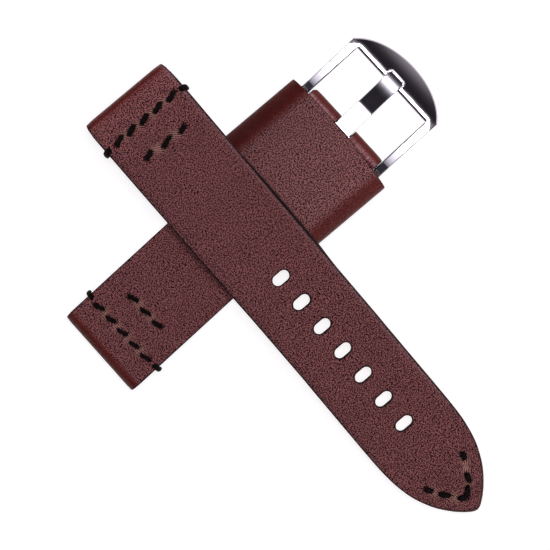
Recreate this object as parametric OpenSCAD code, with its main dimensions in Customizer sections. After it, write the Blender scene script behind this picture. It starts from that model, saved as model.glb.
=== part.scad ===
// Two-piece leather watch strap, laid out flat: the short piece carries a pin
// buckle on a sprung bar and a wide sliding keeper, and the long piece with the
// adjustment holes lies across it. All sizes are millimetres.
//
// Frame: +Y runs along the short piece from its lug end to the buckle, +X runs
// to the right of it, close to the direction of the long piece from its lug end
// to its tip, +Z is up and z = 0 is the surface that the strap lies on.

/* [Short piece] */
// Distance from the lug end to the axis of the buckle's bar
short_len = 73; // [71:0.5:76]
// Width of the short piece
short_w = 22.1; // [21.7:0.1:22.1]

/* [Long piece] */
// Length from the lug end to the nose, seen from above
long_len = 120.9; // [119:0.1:124]
// Width near the lug end
long_w = 22.3; // [21.8:0.1:22.6]
// Width over the holes
long_tip_w = 21.6; // [20.8:0.1:21.8]
// Radius of the pointed arch at the tip
tip_r = 24; // [22:0.5:27]
// Radius of the gentle bend that it lies in, at its underside
bend_r = 440; // [430:5:480]
// Number of adjustment holes
hole_count = 7; // [5:1:7]
// Distance from one hole to the next
hole_pitch = 7; // [6:0.5:7]
// Distance from the lug end to the first hole
first_hole = 53.6; // [53:0.2:56]
// Hole size across the strap
hole_l = 4.4; // [4:0.1:5]
// Hole size along the strap
hole_w = 2.6; // [2.2:0.1:3]

/* [Leather] */
// Thickness of the top leather
top_t = 1.8; // [1.6:0.1:1.9]
// Thickness of the lining
lining_t = 1.6; // [1.5:0.1:1.7]
// Outer radius of the fold round the lug bar
lug_fold_r = 2.45; // [2.4:0.05:2.6]
// Radius of the lug bar tunnel
lug_bore_r = 1; // [0.9:0.05:1.1]
// Thickness of the non-stretch tape between the layers
tape_t = 0.3; // [0.2:0.1:0.4]
// Radius of the waxed thread
thread_r = 0.45; // [0.35:0.05:0.5]
// Distance between stitch holes in the row nearest the lugs
stitch_pitch = 3.77; // [3.7:0.01:3.8]

/* [Keeper] */
// Outer width of the keeper
keeper_w = 31.6; // [31.2:0.1:32]
// Length of the keeper along the strap
keeper_len = 21.5; // [18:0.1:21.8]
// Outer height of the keeper
keeper_h = 7.2; // [7.2:0.05:7.3]
// Thickness of its leather
keeper_t = 1.35; // [1.3:0.05:1.35]
// How far it sits askew on the strap
keeper_skew = 2.4; // [0:0.1:2.6]

/* [Buckle] */
// Clear width between the buckle's arms
buckle_in_w = 22.3; // [22.3:0.1:22.4]
// Width of each arm
arm_w = 2.1; // [2:0.1:2.1]
// Distance from the bar's axis to the front edge of the window
window_len = 14.9; // [14.5:0.1:15.2]
// Width of the polished rim at the front of the window
rim_w = 1.2; // [1:0.1:1.4]
// Distance from the bar's axis to the buckle's front
buckle_len = 21.04; // [20.9:0.02:21.1]
// Half of the thickness of the arms
arm_h = 1.3; // [1.2:0.05:1.35]
// Slope of the buckle as it lies on the surface
buckle_tilt = 5.7; // [5.6:0.05:5.7]
// Width of the tongue
tongue_w = 4.2; // [4:0.1:4.3]
// How far the tongue sits askew
tongue_skew = 1.2; // [0:0.1:1.3]

/* [Spring bar] */
// Outer radius of the bar's tube
barrel_r = 0.9; // [0.85:0.01:0.9]
// Radius of the pin tips
pin_r = 0.42; // [0.4:0.01:0.42]
// Turns of the spring
spring_turns = 14; // [10:1:16]

/* [Hidden] */

$fn = 48;
leather = [0.36, 0.17, 0.15];
lining = [0.42, 0.24, 0.17];
tape_colour = [0.75, 0.72, 0.66];
thread = [0.11, 0.07, 0.06];
polished = [0.82, 0.82, 0.84];
steel = [0.6, 0.6, 0.62];

thick = top_t + lining_t;
// Underside of the flat short piece: the keeper's lower wall lies beneath it
short_z = 2 * lug_fold_r - thick;
// Fold round the buckle's bar
bar_fold_r = 2.1;
bar_bore_r = barrel_r + 0.05;
bar_y = short_len;
bar_z = short_z + bar_fold_r;
// How far the turned-in ends of the leather reach from the lug end
flap_len = 15.5;
buckle_flap = 15;

// The long piece's own frame: u along it, v across it, with its lug end here
long_x = -38.6;
long_y = 42.6;
long_turn = -1.97;
bend_u = 38.25;
bend_z = 0.01 - sqrt(bend_r * bend_r - pow(long_len - bend_u, 2));

// The model's origin: middle of the bounding box on the surface below
centre_x = 21.645;
centre_y = 46.941;

// ------------------------------------------------------------ small helpers

function arc(c, r, a0, a1, n) =
    [for (i = [0 : n]) let (a = a0 + (a1 - a0) * i / n)
        [c[0] + r * cos(a), c[1] + r * sin(a)]];

function rounded(w, h, r, n) = concat(
    arc([w / 2 - r, h / 2 - r], r, 0, 90, n),
    arc([-w / 2 + r, h / 2 - r], r, 90, 180, n),
    arc([-w / 2 + r, -h / 2 + r], r, 180, 270, n),
    arc([w / 2 - r, -h / 2 + r], r, 270, 360, n));

// A round rod from p to q
module rod(p, q, r) {
    d = q - p;
    l = norm(d);
    translate(p)
        rotate([0, acos(d[2] / l), atan2(d[1], d[0])])
            cylinder(r = r, h = l);
}

// A side profile of points [y, z], given a width along X
module across_x(w) {
    rotate([90, 0, 90]) linear_extrude(w, center = true) children();
}

// A side profile of points [u, z], given a width along v
module across_v(w) {
    rotate([90, 0, 0]) linear_extrude(w, center = true) children();
}

// ------------------------------------------------------------- placing parts

module place() {
    translate([-centre_x, -centre_y, 0]) children();
}

module place_long() {
    translate([long_x - centre_x, long_y - centre_y, 0])
        rotate([0, 0, long_turn]) children();
}

// Height of the bent piece at u, h above its underside
function bent(u, h) =
    [u, bend_z + sqrt(pow(bend_r + h, 2) - pow(u - bend_u, 2))];
function slope(u) = asin((bend_u - u) / bend_r);

// A frame on the long piece's top face at u, with z along its normal
module on_long(u) {
    translate([u, 0, bent(u, thick)[1]]) rotate([0, -slope(u), 0]) children();
}

// A frame on the short piece's top face at y, with x towards the buckle
module on_short(y) {
    translate([0, y, short_z + thick]) rotate([0, 0, 90]) children();
}

module place_keeper() {
    place() translate([0.05, 72.5, 0]) rotate([0, 0, -keeper_skew]) children();
}

module place_bar() {
    place() translate([0, bar_y, bar_z]) children();
}

// ------------------------------------------------------------------ stitches

// One row of saddle stitching across a piece, drawn on a frame whose x runs
// along the piece. cs holds the stitch centres, p their spacing, and edge is
// half the width of the piece where the thread wraps round its edges, or 0.
module row(cs, p, edge, r, slant = 0.35) {
    n = len(cs);
    holes = concat([cs[0] - p / 2], [for (c = cs) c + p / 2]);
    zt = 0.05;
    zb = -thick + thread_r + 0.05;
    for (c = cs)
        rod([-slant, c + p / 2 - 0.2, zt], [slant, c - p / 2 + 0.2, zt], r);
    for (h = holes)
        rod([0, h, zt], [0, h, zb - 0.1], r);
    for (c = cs)
        rod([0, c - p / 2, zb], [0, c + p / 2, zb], r * 0.98);
    if (edge > 0)
        for (s = [-1, 1]) {
            h = s > 0 ? holes[n] : holes[0];
            e = s * (edge + 0.2);
            rod([0.1, h, zt], [-0.2, e + s * 0.3, zt - 0.1], r * 0.99);
            rod([-0.2, e, zt + 0.2], [-0.1, e, zb - 0.2], r);
            rod([-0.1, e + s * 0.3, zb + 0.05], [0, h, zb], r * 0.99);
        }
}

// Stitching along a chain of points [x, y] from hole to hole
module chain(ps, r) {
    zt = 0.05;
    zb = -thick + thread_r + 0.05;
    for (i = [0 : len(ps) - 2])
        for (z = [zt, zb])
            rod([ps[i][0], ps[i][1], z], [ps[i + 1][0], ps[i + 1][1], z], r * 0.9);
    for (p = ps)
        rod([p[0], p[1], zt + r * 0.97], [p[0], p[1], zb - r * 0.97], r * 1.06);
}

lug_row = [for (i = [-2 : 2]) i * stitch_pitch];
short_second_row = [-3.85, 0, 3.85];
long_second_row = [-4.4, 0.35, 5.1];
buckle_row = [for (i = [-2 : 2]) i * 3.8];
tip_at = 113;
tip_chain = [[-4.2, 6.9], [-1.4, 4.6], [2.1, 2.0], [2.4, -2.0], [-1.0, -4.7], [-3.7, -6.7]];

module short_lug_row(r) on_short(7) row(lug_row, stitch_pitch, short_w / 2, r);
module short_second_row_at(r) on_short(13.8) row(short_second_row, 3.85, 0, r);
module short_buckle_row(r) on_short(61.5) row(buckle_row, 3.8, 0, r, 0.2);
module long_lug_row(r) on_long(7.4) row(lug_row, stitch_pitch, long_w / 2 - 0.02, r);
module long_second_row_at(r) on_long(14) row(long_second_row, 4.75, 0, r);
module long_tip_row(r) on_long(tip_at) chain(tip_chain, r);

gap_r = thread_r + 0.05;

// ---------------------------------------------------------------- short piece

short_plan = [
    [-short_w / 2 + 0.45, 0], [-short_w / 2 + 0.2, 0.25], [-short_w / 2 + 0.05, 1.2],
    [-short_w / 2, 2.4], [-short_w / 2, bar_y + 1.6], [-short_w / 2 + 0.25, bar_y + 1.95],
    [-short_w / 2 + 0.6, bar_y + 3],
    [short_w / 2 - 0.6, bar_y + 3], [short_w / 2 - 0.25, bar_y + 1.95],
    [short_w / 2, bar_y + 1.6], [short_w / 2, 2.4], [short_w / 2 - 0.05, 1.2],
    [short_w / 2 - 0.2, 0.25], [short_w / 2 - 0.45, 0]
];

// One strip of leather: over the lug bar, along the top, and over the buckle's
// bar, with both ends turned in underneath
module short_top_leather() {
    flap_h = lining_t - 0.1;
    lug_c = [lug_fold_r, lug_fold_r];
    outline = concat(
        arc(lug_c, lug_fold_r, 90, 302, 22),
        [[6.2, short_z], [flap_len, short_z], [flap_len, short_z + flap_h],
         [5.2, short_z + flap_h], [5.2, short_z + lining_t],
         [bar_y - 4.6, short_z + lining_t], [bar_y - 4.6, short_z + flap_h],
         [bar_y - buckle_flap, short_z + flap_h], [bar_y - buckle_flap, short_z]],
        arc([bar_y, bar_z], bar_fold_r, -90, 94, 20),
        [[bar_y - 8, short_z + thick]]);
    color(leather) place() difference() {
        intersection() {
            across_x(short_w + 2) polygon(outline);
            translate([0, 0, -1]) linear_extrude(10) polygon(short_plan);
        }
        // tunnels for the lug bar and the buckle's bar
        translate([0, lug_fold_r, lug_fold_r]) rotate([0, 90, 0])
            cylinder(r = lug_bore_r, h = short_w + 4, center = true);
        translate([0, bar_y, bar_z]) rotate([0, 90, 0])
            cylinder(r = bar_bore_r, h = short_w + 4, center = true);
        // slot for the tongue
        translate([-tongue_w / 2 - 0.15, bar_y - 2.3, -1])
            cube([tongue_w + 0.3, 6, 12]);
        short_lug_row(gap_r);
        short_second_row_at(gap_r);
        short_buckle_row(gap_r);
    }
}

module short_lining() {
    color(lining) place() difference() {
        translate([-short_w / 2, flap_len + 0.1, short_z])
            cube([short_w, bar_y - buckle_flap - flap_len - 0.2, lining_t]);
        translate([-8.05, flap_len + 1.4, short_z + lining_t - tape_t])
            cube([16.1, bar_y - buckle_flap - flap_len - 2.8, tape_t + 1]);
    }
}

module short_tape() {
    color(tape_colour) place()
        translate([-8, flap_len + 1.45, short_z + lining_t - tape_t + 0.01])
            cube([16, bar_y - buckle_flap - flap_len - 2.9, tape_t - 0.02]);
}

module short_lug_stitches() { color(thread) place() short_lug_row(thread_r); }
module short_second_stitches() { color(thread) place() short_second_row_at(thread_r); }
module short_buckle_stitches() { color(thread) place() short_buckle_row(thread_r); }

// ----------------------------------------------------------------- long piece

// Half width of the pointed tip, d from the start of its arch
arch_start = long_len - 19.85;
nose_r = 0.85;
arch_v = tip_r - long_tip_w / 2;
nose_d = sqrt(pow(tip_r - nose_r, 2) - arch_v * arch_v);
arch_end = asin(arch_v / (tip_r - nose_r));

function long_side() = concat(
    [[0, long_w / 2 - 0.75], [0.25, long_w / 2 - 0.42], [1.3, long_w / 2 - 0.16],
     [2.7, long_w / 2 - 0.02], [7, long_w / 2], [20, long_w / 2 - 0.03],
     [52, long_tip_w / 2 + 0.08], [56, long_tip_w / 2]],
    [for (i = [0 : 20]) let (a = 90 - (90 - arch_end) * i / 20)
        [arch_start + tip_r * cos(a), -arch_v + tip_r * sin(a)]],
    [for (i = [1 : 6]) let (a = arch_end * (1 - i / 6))
        [arch_start + nose_d + nose_r * cos(a), nose_r * sin(a)]]);

function mirrored(p) = [for (i = [len(p) - 1 : -1 : 0]) if (p[i][1] > 0.001) [p[i][0], -p[i][1]]];
long_plan = concat(long_side(), mirrored(long_side()));

long_steps = [for (u = [20 : 4 : 120]) u];

lug_c = bent(lug_fold_r, thick - lug_fold_r);
lug_a = slope(lug_fold_r);
// A point of the straight lug end, turned to the slope of the bend there
function lug_pt(y, h) = let (dy = y - lug_fold_r, dh = h - (thick - lug_fold_r))
    [lug_c[0] + dy * cos(lug_a) - dh * sin(lug_a), lug_c[1] + dy * sin(lug_a) + dh * cos(lug_a)];

module long_shape(outline) {
    intersection() {
        across_v(long_w + 3) polygon(outline);
        translate([0, 0, -2]) linear_extrude(18) polygon(long_plan);
    }
}

module holes() {
    for (i = [0 : hole_count - 1])
        on_long(first_hole + i * hole_pitch)
            translate([0, 0, -thick - 1]) linear_extrude(thick + 2) {
                translate([0, hole_l / 2 - hole_w / 2]) circle(r = hole_w / 2);
                translate([0, -hole_l / 2 + hole_w / 2]) circle(r = hole_w / 2);
                square([hole_w, hole_l - hole_w], center = true);
            }
}

module long_top_leather() {
    flap_h = lining_t - 0.1;
    outline = concat(
        [for (i = [0 : 22]) let (a = 90 + (302 - 90) * i / 22)
            lug_pt(lug_fold_r + lug_fold_r * cos(a), thick - lug_fold_r + lug_fold_r * sin(a))],
        [lug_pt(6.2, 0), bent(10, 0), bent(flap_len, 0), bent(flap_len, flap_h),
         bent(10, flap_h), bent(5.2, flap_h), bent(5.2, lining_t), bent(10, lining_t), bent(15, lining_t)],
        [for (u = long_steps) bent(u, lining_t)],
        [bent(124, lining_t), bent(124, thick)],
        [for (i = [len(long_steps) - 1 : -1 : 0]) bent(long_steps[i], thick)],
        [bent(15, thick), bent(10, thick), bent(5.5, thick)]);
    color(leather) place_long() difference() {
        long_shape(outline);
        translate([lug_c[0], 0, lug_c[1]]) rotate([90, 0, 0])
            cylinder(r = lug_bore_r, h = long_w + 4, center = true);
        holes();
        long_lug_row(gap_r);
        long_second_row_at(gap_r);
        long_tip_row(gap_r);
    }
}

module long_lining() {
    outline = concat(
        [bent(flap_len + 0.1, 0)],
        [for (u = long_steps) bent(u, 0)],
        [bent(124, 0), bent(124, lining_t)],
        [for (i = [len(long_steps) - 1 : -1 : 0]) bent(long_steps[i], lining_t)],
        [bent(flap_len + 0.1, lining_t)]);
    color(lining) place_long() difference() {
        long_shape(outline);
        long_tape_shape(8.05, flap_len + 1.4, 103.1, 0, 1);
        holes();
        long_tip_row(gap_r);
    }
}

module long_tape_shape(hw, u0, u1, lo, hi) {
    steps = [for (u = long_steps) if (u > u0 + 1 && u < u1 - 1) u];
    outline = concat(
        [bent(u0, lining_t - tape_t + lo)],
        [for (u = steps) bent(u, lining_t - tape_t + lo)],
        [bent(u1, lining_t - tape_t + lo), bent(u1, lining_t + hi)],
        [for (i = [len(steps) - 1 : -1 : 0]) bent(steps[i], lining_t + hi)],
        [bent(u0, lining_t + hi)]);
    across_v(2 * hw) polygon(outline);
}

module long_tape() {
    color(tape_colour) place_long() difference() {
        long_tape_shape(8, flap_len + 1.45, 103.05, 0.01, -0.01);
        holes();
    }
}

module long_lug_stitches() { color(thread) place_long() long_lug_row(thread_r); }
module long_second_stitches() { color(thread) place_long() long_second_row_at(thread_r); }
module long_tip_stitches() { color(thread) place_long() long_tip_row(thread_r); }

// --------------------------------------------------------------------- keeper

keeper_seam = [for (i = [0 : 3]) -3.3 - i * (keeper_len - 6.6) / 3];

module keeper_threads(r) {
    for (y = keeper_seam) {
        rod([-1.7, y, r + 0.06], [1.7, y, r + 0.06], r);
        for (s = [-1, 1]) rod([s * 1.5, y, r + 0.06], [s * 1.5, y, keeper_t - 0.1], r * 0.95);
    }
}

module keeper_loop() {
    color(leather) place_keeper() difference() {
        translate([0, 0, keeper_h / 2]) rotate([90, 0, 0]) linear_extrude(keeper_len)
            difference() {
                polygon(rounded(keeper_w, keeper_h, 3.05, 9));
                polygon(rounded(keeper_w - 2 * keeper_t, keeper_h - 2 * keeper_t, 1.7, 7));
            }
        // butt seam in the lower wall
        translate([-0.05, -keeper_len - 1, -1]) cube([0.1, keeper_len + 2, keeper_t + 1.5]);
        keeper_threads(0.33);
    }
}

module keeper_stitches() { color(thread) place_keeper() keeper_threads(0.28); }

// --------------------------------------------------------------------- buckle

buckle_out = buckle_in_w / 2 + arm_w;
// Outline of the rounded front: an ellipse whose front is buckle_len away
front_a = 14.8;
front_b = 9.57;
front_c = buckle_len - front_b;
function front_x(y) = front_a * sqrt(max(0, 1 - pow((y - front_c) / front_b, 2)));
front_y0 = window_len - 0.6;
front_half = concat(
    [for (i = [0 : 16]) let (y = front_y0 + (buckle_len - front_y0) * sin(90 * i / 16))
        [min(buckle_out, front_x(y)), y]]);
front_plan = concat(front_half, [for (i = [len(front_half) - 2 : -1 : 0]) [-front_half[i][0], front_half[i][1]]]);

band_r = 3;
band_plan = concat(
    [[buckle_out, -0.01]],
    arc([buckle_out - band_r, window_len + rim_w - band_r], band_r, 0, 90, 8),
    arc([-buckle_out + band_r, window_len + rim_w - band_r], band_r, 90, 180, 8),
    [[-buckle_out, -0.01]]);

module buckle_frame() {
    color(polished) place_bar() rotate([-buckle_tilt, 0, 0]) difference() {
        union() {
            // polished band: the two arms and the rim
            translate([0, 0, -1.5]) linear_extrude(1.5 + arm_h)
                intersection() { polygon(band_plan); polygon(concat([[buckle_out, -0.01]], front_half, [for (i = [len(front_half) - 1 : -1 : 0]) [-front_half[i][0], front_half[i][1]]], [[-buckle_out, -0.01]])); }
            // brushed front, falling away to its outer edge
            intersection() {
                translate([0, 0, -1.5]) linear_extrude(3) polygon(front_plan);
                translate([0, 14, arm_h - 14 + 0.02]) rotate([0, 90, 0])
                    cylinder(r = 14, h = 40, center = true, $fn = 96);
            }
            // knuckles
            for (s = [-1, 1])
                translate([s * (buckle_in_w / 2 + arm_w / 2), 0, 0]) rotate([0, 90, 0])
                    cylinder(r = 1.8, h = arm_w, center = true);
        }
        // window
        translate([-buckle_in_w / 2, -5, -4])
            cube([buckle_in_w, window_len + 5, 8]);
        // notch for the tongue
        translate([-2.5, window_len - 1, 0.42]) cube([4.7, 3.3, 4]);
        // holes for the bar's pins
        rotate([0, 90, 0]) cylinder(r = pin_r + 0.05, h = 2 * (buckle_in_w / 2 + 1.4), center = true, $fn = 32);
    }
}

// Side outline of the tongue, from the bar to the tip
tongue_side = concat(
    [[0, 1.6], [3.5, 1.72], [7.1, 1.98], [7.5, 1.94], [9.4, 1.5], [11.2, 1], [12.7, 0.56], [13.9, 0.3], [15.1, 0.13]],
    [[15.9, -0.05], [16.5, -0.3], [16.85, -0.62], [16.9, -0.95]],
    [[16.5, -1.05], [15.3, -0.97], [13.9, -0.8], [12.7, -0.54], [11.2, -0.1], [9.4, 0.4], [7.3, 0.92], [3.5, 0.8], [1.2, 0.3], [0, 0.3]]);

module buckle_tongue() {
    color(polished) place_bar() difference() {
        union() {
            rotate([0, 90, 0]) cylinder(r = 1.6, h = tongue_w, center = true);
            rotate([0, 0, tongue_skew]) across_x(tongue_w) polygon(tongue_side);
        }
        rotate([0, 90, 0]) cylinder(r = barrel_r + 0.05, h = tongue_w + 4, center = true);
        // where the curled end meets the underside
        rotate([-52, 0, 0]) translate([-5, 0.6, -0.08]) cube([10, 3, 0.16]);
    }
}

// ----------------------------------------------------------------- spring bar

tube_half = 10.5;
tube_in = 0.62;
crimp_r = 0.48;

module bar_tube() {
    color(steel) place_bar() rotate([0, 90, 0]) rotate_extrude($fn = 40)
        polygon([[tube_in, -10.1], [crimp_r, -10.15], [crimp_r, -tube_half], [barrel_r - 0.1, -tube_half],
                 [barrel_r, -tube_half + 0.1], [barrel_r, tube_half - 0.1], [barrel_r - 0.1, tube_half],
                 [crimp_r, tube_half], [crimp_r, 10.15], [tube_in, 10.1]]);
}

module pin(s) {
    color(steel) place_bar() rotate([0, s * 90, 0]) rotate_extrude($fn = 32)
        polygon([[0, 9.25], [0.56, 9.25], [0.58, 9.3], [0.58, 9.95], [0.54, 10.05], [pin_r, 10.05],
                 [pin_r, 12.1], [pin_r - 0.18, 12.32], [0, 12.32]]);
}
module bar_pin_left() { pin(-1); }
module bar_pin_right() { pin(1); }

// A round wire wound on a helix inside the tube
module bar_spring() {
    half = 9.1;
    wire = 0.1;
    mean = 0.42;
    sides = 5;
    per_turn = 10;
    n = spring_turns * per_turn;
    function at(i) = let (t = i / n) [mean * cos(360 * i / per_turn), mean * sin(360 * i / per_turn), -half + 2 * half * t];
    function ring(i) = let (a = 360 * i / per_turn, c = at(i), e1 = [cos(a), sin(a), 0], e2 = [0, 0, 1])
        [for (k = [0 : sides - 1]) c + wire * (cos(360 * k / sides) * e1 + sin(360 * k / sides) * e2)];
    pts = [for (i = [0 : n]) each ring(i)];
    faces = concat(
        [[for (k = [0 : sides - 1]) k]],
        [for (i = [0 : n - 1]) for (k = [0 : sides - 1])
            [i * sides + k, (i + 1) * sides + k, (i + 1) * sides + (k + 1) % sides, i * sides + (k + 1) % sides]],
        [[for (k = [sides - 1 : -1 : 0]) n * sides + k]]);
    color(steel) place_bar() rotate([0, 90, 0]) polyhedron(pts, faces, convexity = 8);
}

// --------------------------------------------------------------------- output

short_top_leather();
short_lining();
short_tape();
short_lug_stitches();
short_second_stitches();
short_buckle_stitches();
long_top_leather();
long_lining();
long_tape();
long_lug_stitches();
long_second_stitches();
long_tip_stitches();
keeper_loop();
keeper_stitches();
buckle_frame();
buckle_tongue();
bar_tube();
bar_pin_left();
bar_pin_right();
bar_spring();
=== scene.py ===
import math
import random

import bmesh
import bpy
import numpy as np
from mathutils import Matrix, Vector
from mathutils.geometry import delaunay_2d_cdt


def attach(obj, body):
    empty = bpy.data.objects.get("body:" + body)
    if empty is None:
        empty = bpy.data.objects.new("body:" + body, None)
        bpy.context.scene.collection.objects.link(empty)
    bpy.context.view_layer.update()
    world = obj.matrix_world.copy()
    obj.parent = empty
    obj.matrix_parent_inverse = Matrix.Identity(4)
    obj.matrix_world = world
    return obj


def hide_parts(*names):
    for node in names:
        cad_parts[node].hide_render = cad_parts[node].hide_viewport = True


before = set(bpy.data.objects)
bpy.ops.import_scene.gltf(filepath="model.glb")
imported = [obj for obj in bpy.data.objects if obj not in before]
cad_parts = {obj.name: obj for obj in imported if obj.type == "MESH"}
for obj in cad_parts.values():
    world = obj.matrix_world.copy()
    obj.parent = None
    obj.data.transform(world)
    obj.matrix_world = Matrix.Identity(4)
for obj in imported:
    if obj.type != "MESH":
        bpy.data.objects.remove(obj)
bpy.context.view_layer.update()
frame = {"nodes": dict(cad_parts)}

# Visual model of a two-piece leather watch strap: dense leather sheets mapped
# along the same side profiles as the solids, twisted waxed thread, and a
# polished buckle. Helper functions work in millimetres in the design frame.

MM = 0.001
CX, CY = 21.645, 46.941          # shift from the design frame to the model's

# sizes that the solids have
THICK = 3.4
TOP_T = 1.8
LIN_T = 1.6
FOLD_R = 2.45
SHORT_Z = 1.5
SHORT_W = 22.1
BAR_Y, BAR_Z, BAR_FOLD = 73.0, 3.6, 2.1
LONG_LEN = 120.9
BEND_R, BEND_U = 440.0, 38.25
BEND_Z = 0.01 - math.sqrt(BEND_R ** 2 - (LONG_LEN - BEND_U) ** 2)
LONG_AT = (-38.6, 42.6, math.radians(-1.97))
HOLES_U = [53.6 + 7 * i for i in range(7)]


# ------------------------------------------------------------------ placing

def place_short(a, b, c):
    """Side profile (a = y, b = z) with c across the strap (x)."""
    end = np.clip((5.0 - a) / 5.0, 0, 1)
    a = a - (0.145 + 0.0158 * c) * end
    return np.stack([(c + 0.15 - CX) * MM, (a - CY) * MM, b * MM], axis=-1)


def place_long(a, b, c):
    """Side profile (a = u, b = z) with c across the strap (v)."""
    # the strap lies in a very slight curve, and its lug end isn't quite square
    end = np.clip((5.0 - a) / 5.0, 0, 1)
    c = c + np.interp(a, [0, 4, 10, 19, 61, 74, 77, 81, 87, 91, 94, 100, 107, 121],
                      [0.05, 0.066, 0.11, 0.11, 0.18, 0.18, 0.12, 0.09, 0.033, 0.01, -0.02, -0.06, -0.055, -0.06])
    a = a + (0.135 + 0.0125 * c) * end
    ca, sa = math.cos(LONG_AT[2]), math.sin(LONG_AT[2])
    x = LONG_AT[0] - CX + a * ca - c * sa
    y = LONG_AT[1] - CY + a * sa + c * ca
    return np.stack([x * MM, y * MM, b * MM], axis=-1)


KEEP_TURN = math.radians(-2.4)


def place_keeper(a, b, c):
    """Section (a = x, b = z) with c along the strap, 0 at the buckle's end."""
    ca, sa = math.cos(KEEP_TURN), math.sin(KEEP_TURN)
    x = 0.15 - CX + a * ca - c * sa
    y = 72.85 - CY + a * sa + c * ca
    return np.stack([x * MM, y * MM, b * MM], axis=-1)


BUCKLE_TILT = math.radians(-5.7)


def place_frame(x, y, z):
    """The buckle frame's own axes, tilted about the bar."""
    ca, sa = math.cos(BUCKLE_TILT), math.sin(BUCKLE_TILT)
    return np.stack([(x - CX) * MM, (BAR_Y - CY + y * ca - z * sa) * MM,
                     (BAR_Z + y * sa + z * ca) * MM], axis=-1)


TONGUE_YAW = math.radians(1.2)


def place_tongue(a, b, c):
    ca, sa = math.cos(TONGUE_YAW), math.sin(TONGUE_YAW)
    x = c * ca - a * sa
    y = c * sa + a * ca
    return np.stack([(x - CX) * MM, (BAR_Y - CY + y) * MM, (BAR_Z + b) * MM], axis=-1)


# ------------------------------------------------------------------- paths

def arc_pts(cx, cy, r, a0, a1, n):
    a = np.radians(np.linspace(a0, a1, n))
    return np.stack([cx + r * np.cos(a), cy + r * np.sin(a)], axis=-1)


def dense(points, step=0.04):
    """A polyline through the points, with a point every step."""
    out = []
    for p, q in zip(points[:-1], points[1:]):
        n = max(1, int(math.hypot(q[0] - p[0], q[1] - p[1]) / step))
        for i in range(n):
            t = i / n
            out.append((p[0] + (q[0] - p[0]) * t, p[1] + (q[1] - p[1]) * t))
    out.append(tuple(points[-1]))
    return np.array(out)


class Path:
    """Outer surface of a bent sheet: a point and a normal for each q."""

    def __init__(self, points, q, smooth=0.3, step=0.04):
        # even steps, then a light blur that rounds the corners
        seg = np.hypot(*np.diff(points, axis=0).T)
        s = np.concatenate([[0], np.cumsum(seg)])
        n = int(s[-1] / step)
        even = np.linspace(0, s[-1], n)
        px = np.interp(even, s, points[:, 0])
        py = np.interp(even, s, points[:, 1])
        qq = np.interp(even, s, q)
        k = int(3 * smooth / step)
        if k:
            w = np.exp(-0.5 * (np.arange(-k, k + 1) * step / smooth) ** 2)
            w /= w.sum()

            def blur(v):
                head = v[0] + (v[0] - v[1:k + 1][::-1])
                tail = v[-1] + (v[-1] - v[-k - 1:-1][::-1])
                return np.convolve(np.concatenate([head, v, tail]), w, mode="valid")
            px, py = blur(px), blur(py)
        self.q, self.x, self.y = qq, px, py
        tx, ty = np.gradient(px), np.gradient(py)
        length = np.hypot(tx, ty)
        self.nx, self.ny = -ty / length, tx / length

    def at(self, q, depth):
        nx = np.interp(q, self.q, self.nx)
        ny = np.interp(q, self.q, self.ny)
        length = np.hypot(nx, ny)
        return (np.interp(q, self.q, self.x) - nx / length * depth,
                np.interp(q, self.q, self.y) - ny / length * depth)


def arc_length(points):
    return np.concatenate([[0], np.cumsum(np.hypot(*np.diff(points, axis=0).T))])


# short piece: turned-in end, lug fold, top, buckle fold, turned-in end
_lower = dense([(15.5, SHORT_Z), (6.3, SHORT_Z), tuple(arc_pts(FOLD_R, FOLD_R, FOLD_R, 302, 302, 1)[0])])
_fold = arc_pts(FOLD_R, FOLD_R, FOLD_R, 302, 90, 180)
_top = dense([(FOLD_R, SHORT_Z + THICK), (65.0, SHORT_Z + THICK), (72.85, 5.695)])
_bar = arc_pts(BAR_Y, BAR_Z, BAR_FOLD, 94, -90, 160)
_back = dense([(BAR_Y, SHORT_Z), (58.0, SHORT_Z)])
_pts = np.concatenate([_lower[:-1], _fold[:-1], _top[:-1], _bar[:-1], _back])
_s = arc_length(_pts)
_zero = _s[len(_lower) - 1 + len(_fold) - 1]
short_path = Path(_pts, _s - _zero + FOLD_R)
SHORT_Q0, SHORT_Q1 = short_path.q[0], short_path.q[-1]
SHORT_ARC0 = _s[len(_lower) - 1] - _zero + FOLD_R
SHORT_BAR_END = SHORT_Q1 - 15.0


def bent(u, h):
    return np.stack([u, BEND_Z + np.sqrt((BEND_R + h) ** 2 - (u - BEND_U) ** 2)], axis=-1)


def slope(u):
    return math.asin((BEND_U - u) / BEND_R)


_lug_c = bent(np.array([FOLD_R]), THICK - FOLD_R)[0]
_lug_a = slope(FOLD_R)


def lug_pt(y, h):
    dy, dh = y - FOLD_R, h - (THICK - FOLD_R)
    return (_lug_c[0] + dy * math.cos(_lug_a) - dh * math.sin(_lug_a),
            _lug_c[1] + dy * math.sin(_lug_a) + dh * math.cos(_lug_a))


_lug_fold = np.array([lug_pt((1.55 if a < math.pi else FOLD_R) * (1 + math.cos(a)), THICK - FOLD_R + FOLD_R * math.sin(a))
                      for a in np.radians(np.linspace(302, 90, 180))])
_llow = dense([tuple(p) for p in bent(np.array([15.5, 13.0, 10.0, 8.0]), 0.0)]
              + [lug_pt(6.3, 0.0), tuple(_lug_fold[0])])
_utop = np.arange(4.0, LONG_LEN + 0.8, 0.25)
_ltop = bent(_utop, THICK)
_pts = np.concatenate([_llow[:-1], _lug_fold, _ltop])
_s = arc_length(_pts)
_k = len(_llow) - 1 + len(_lug_fold) - 1
_q = _s - _s[_k] + _lug_fold[-1][0]
_q[_k + 1:] = _utop
long_path = Path(_pts, _q)
LONG_Q0 = long_path.q[0]
LONG_ARC0 = _q[len(_llow) - 1]

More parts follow.
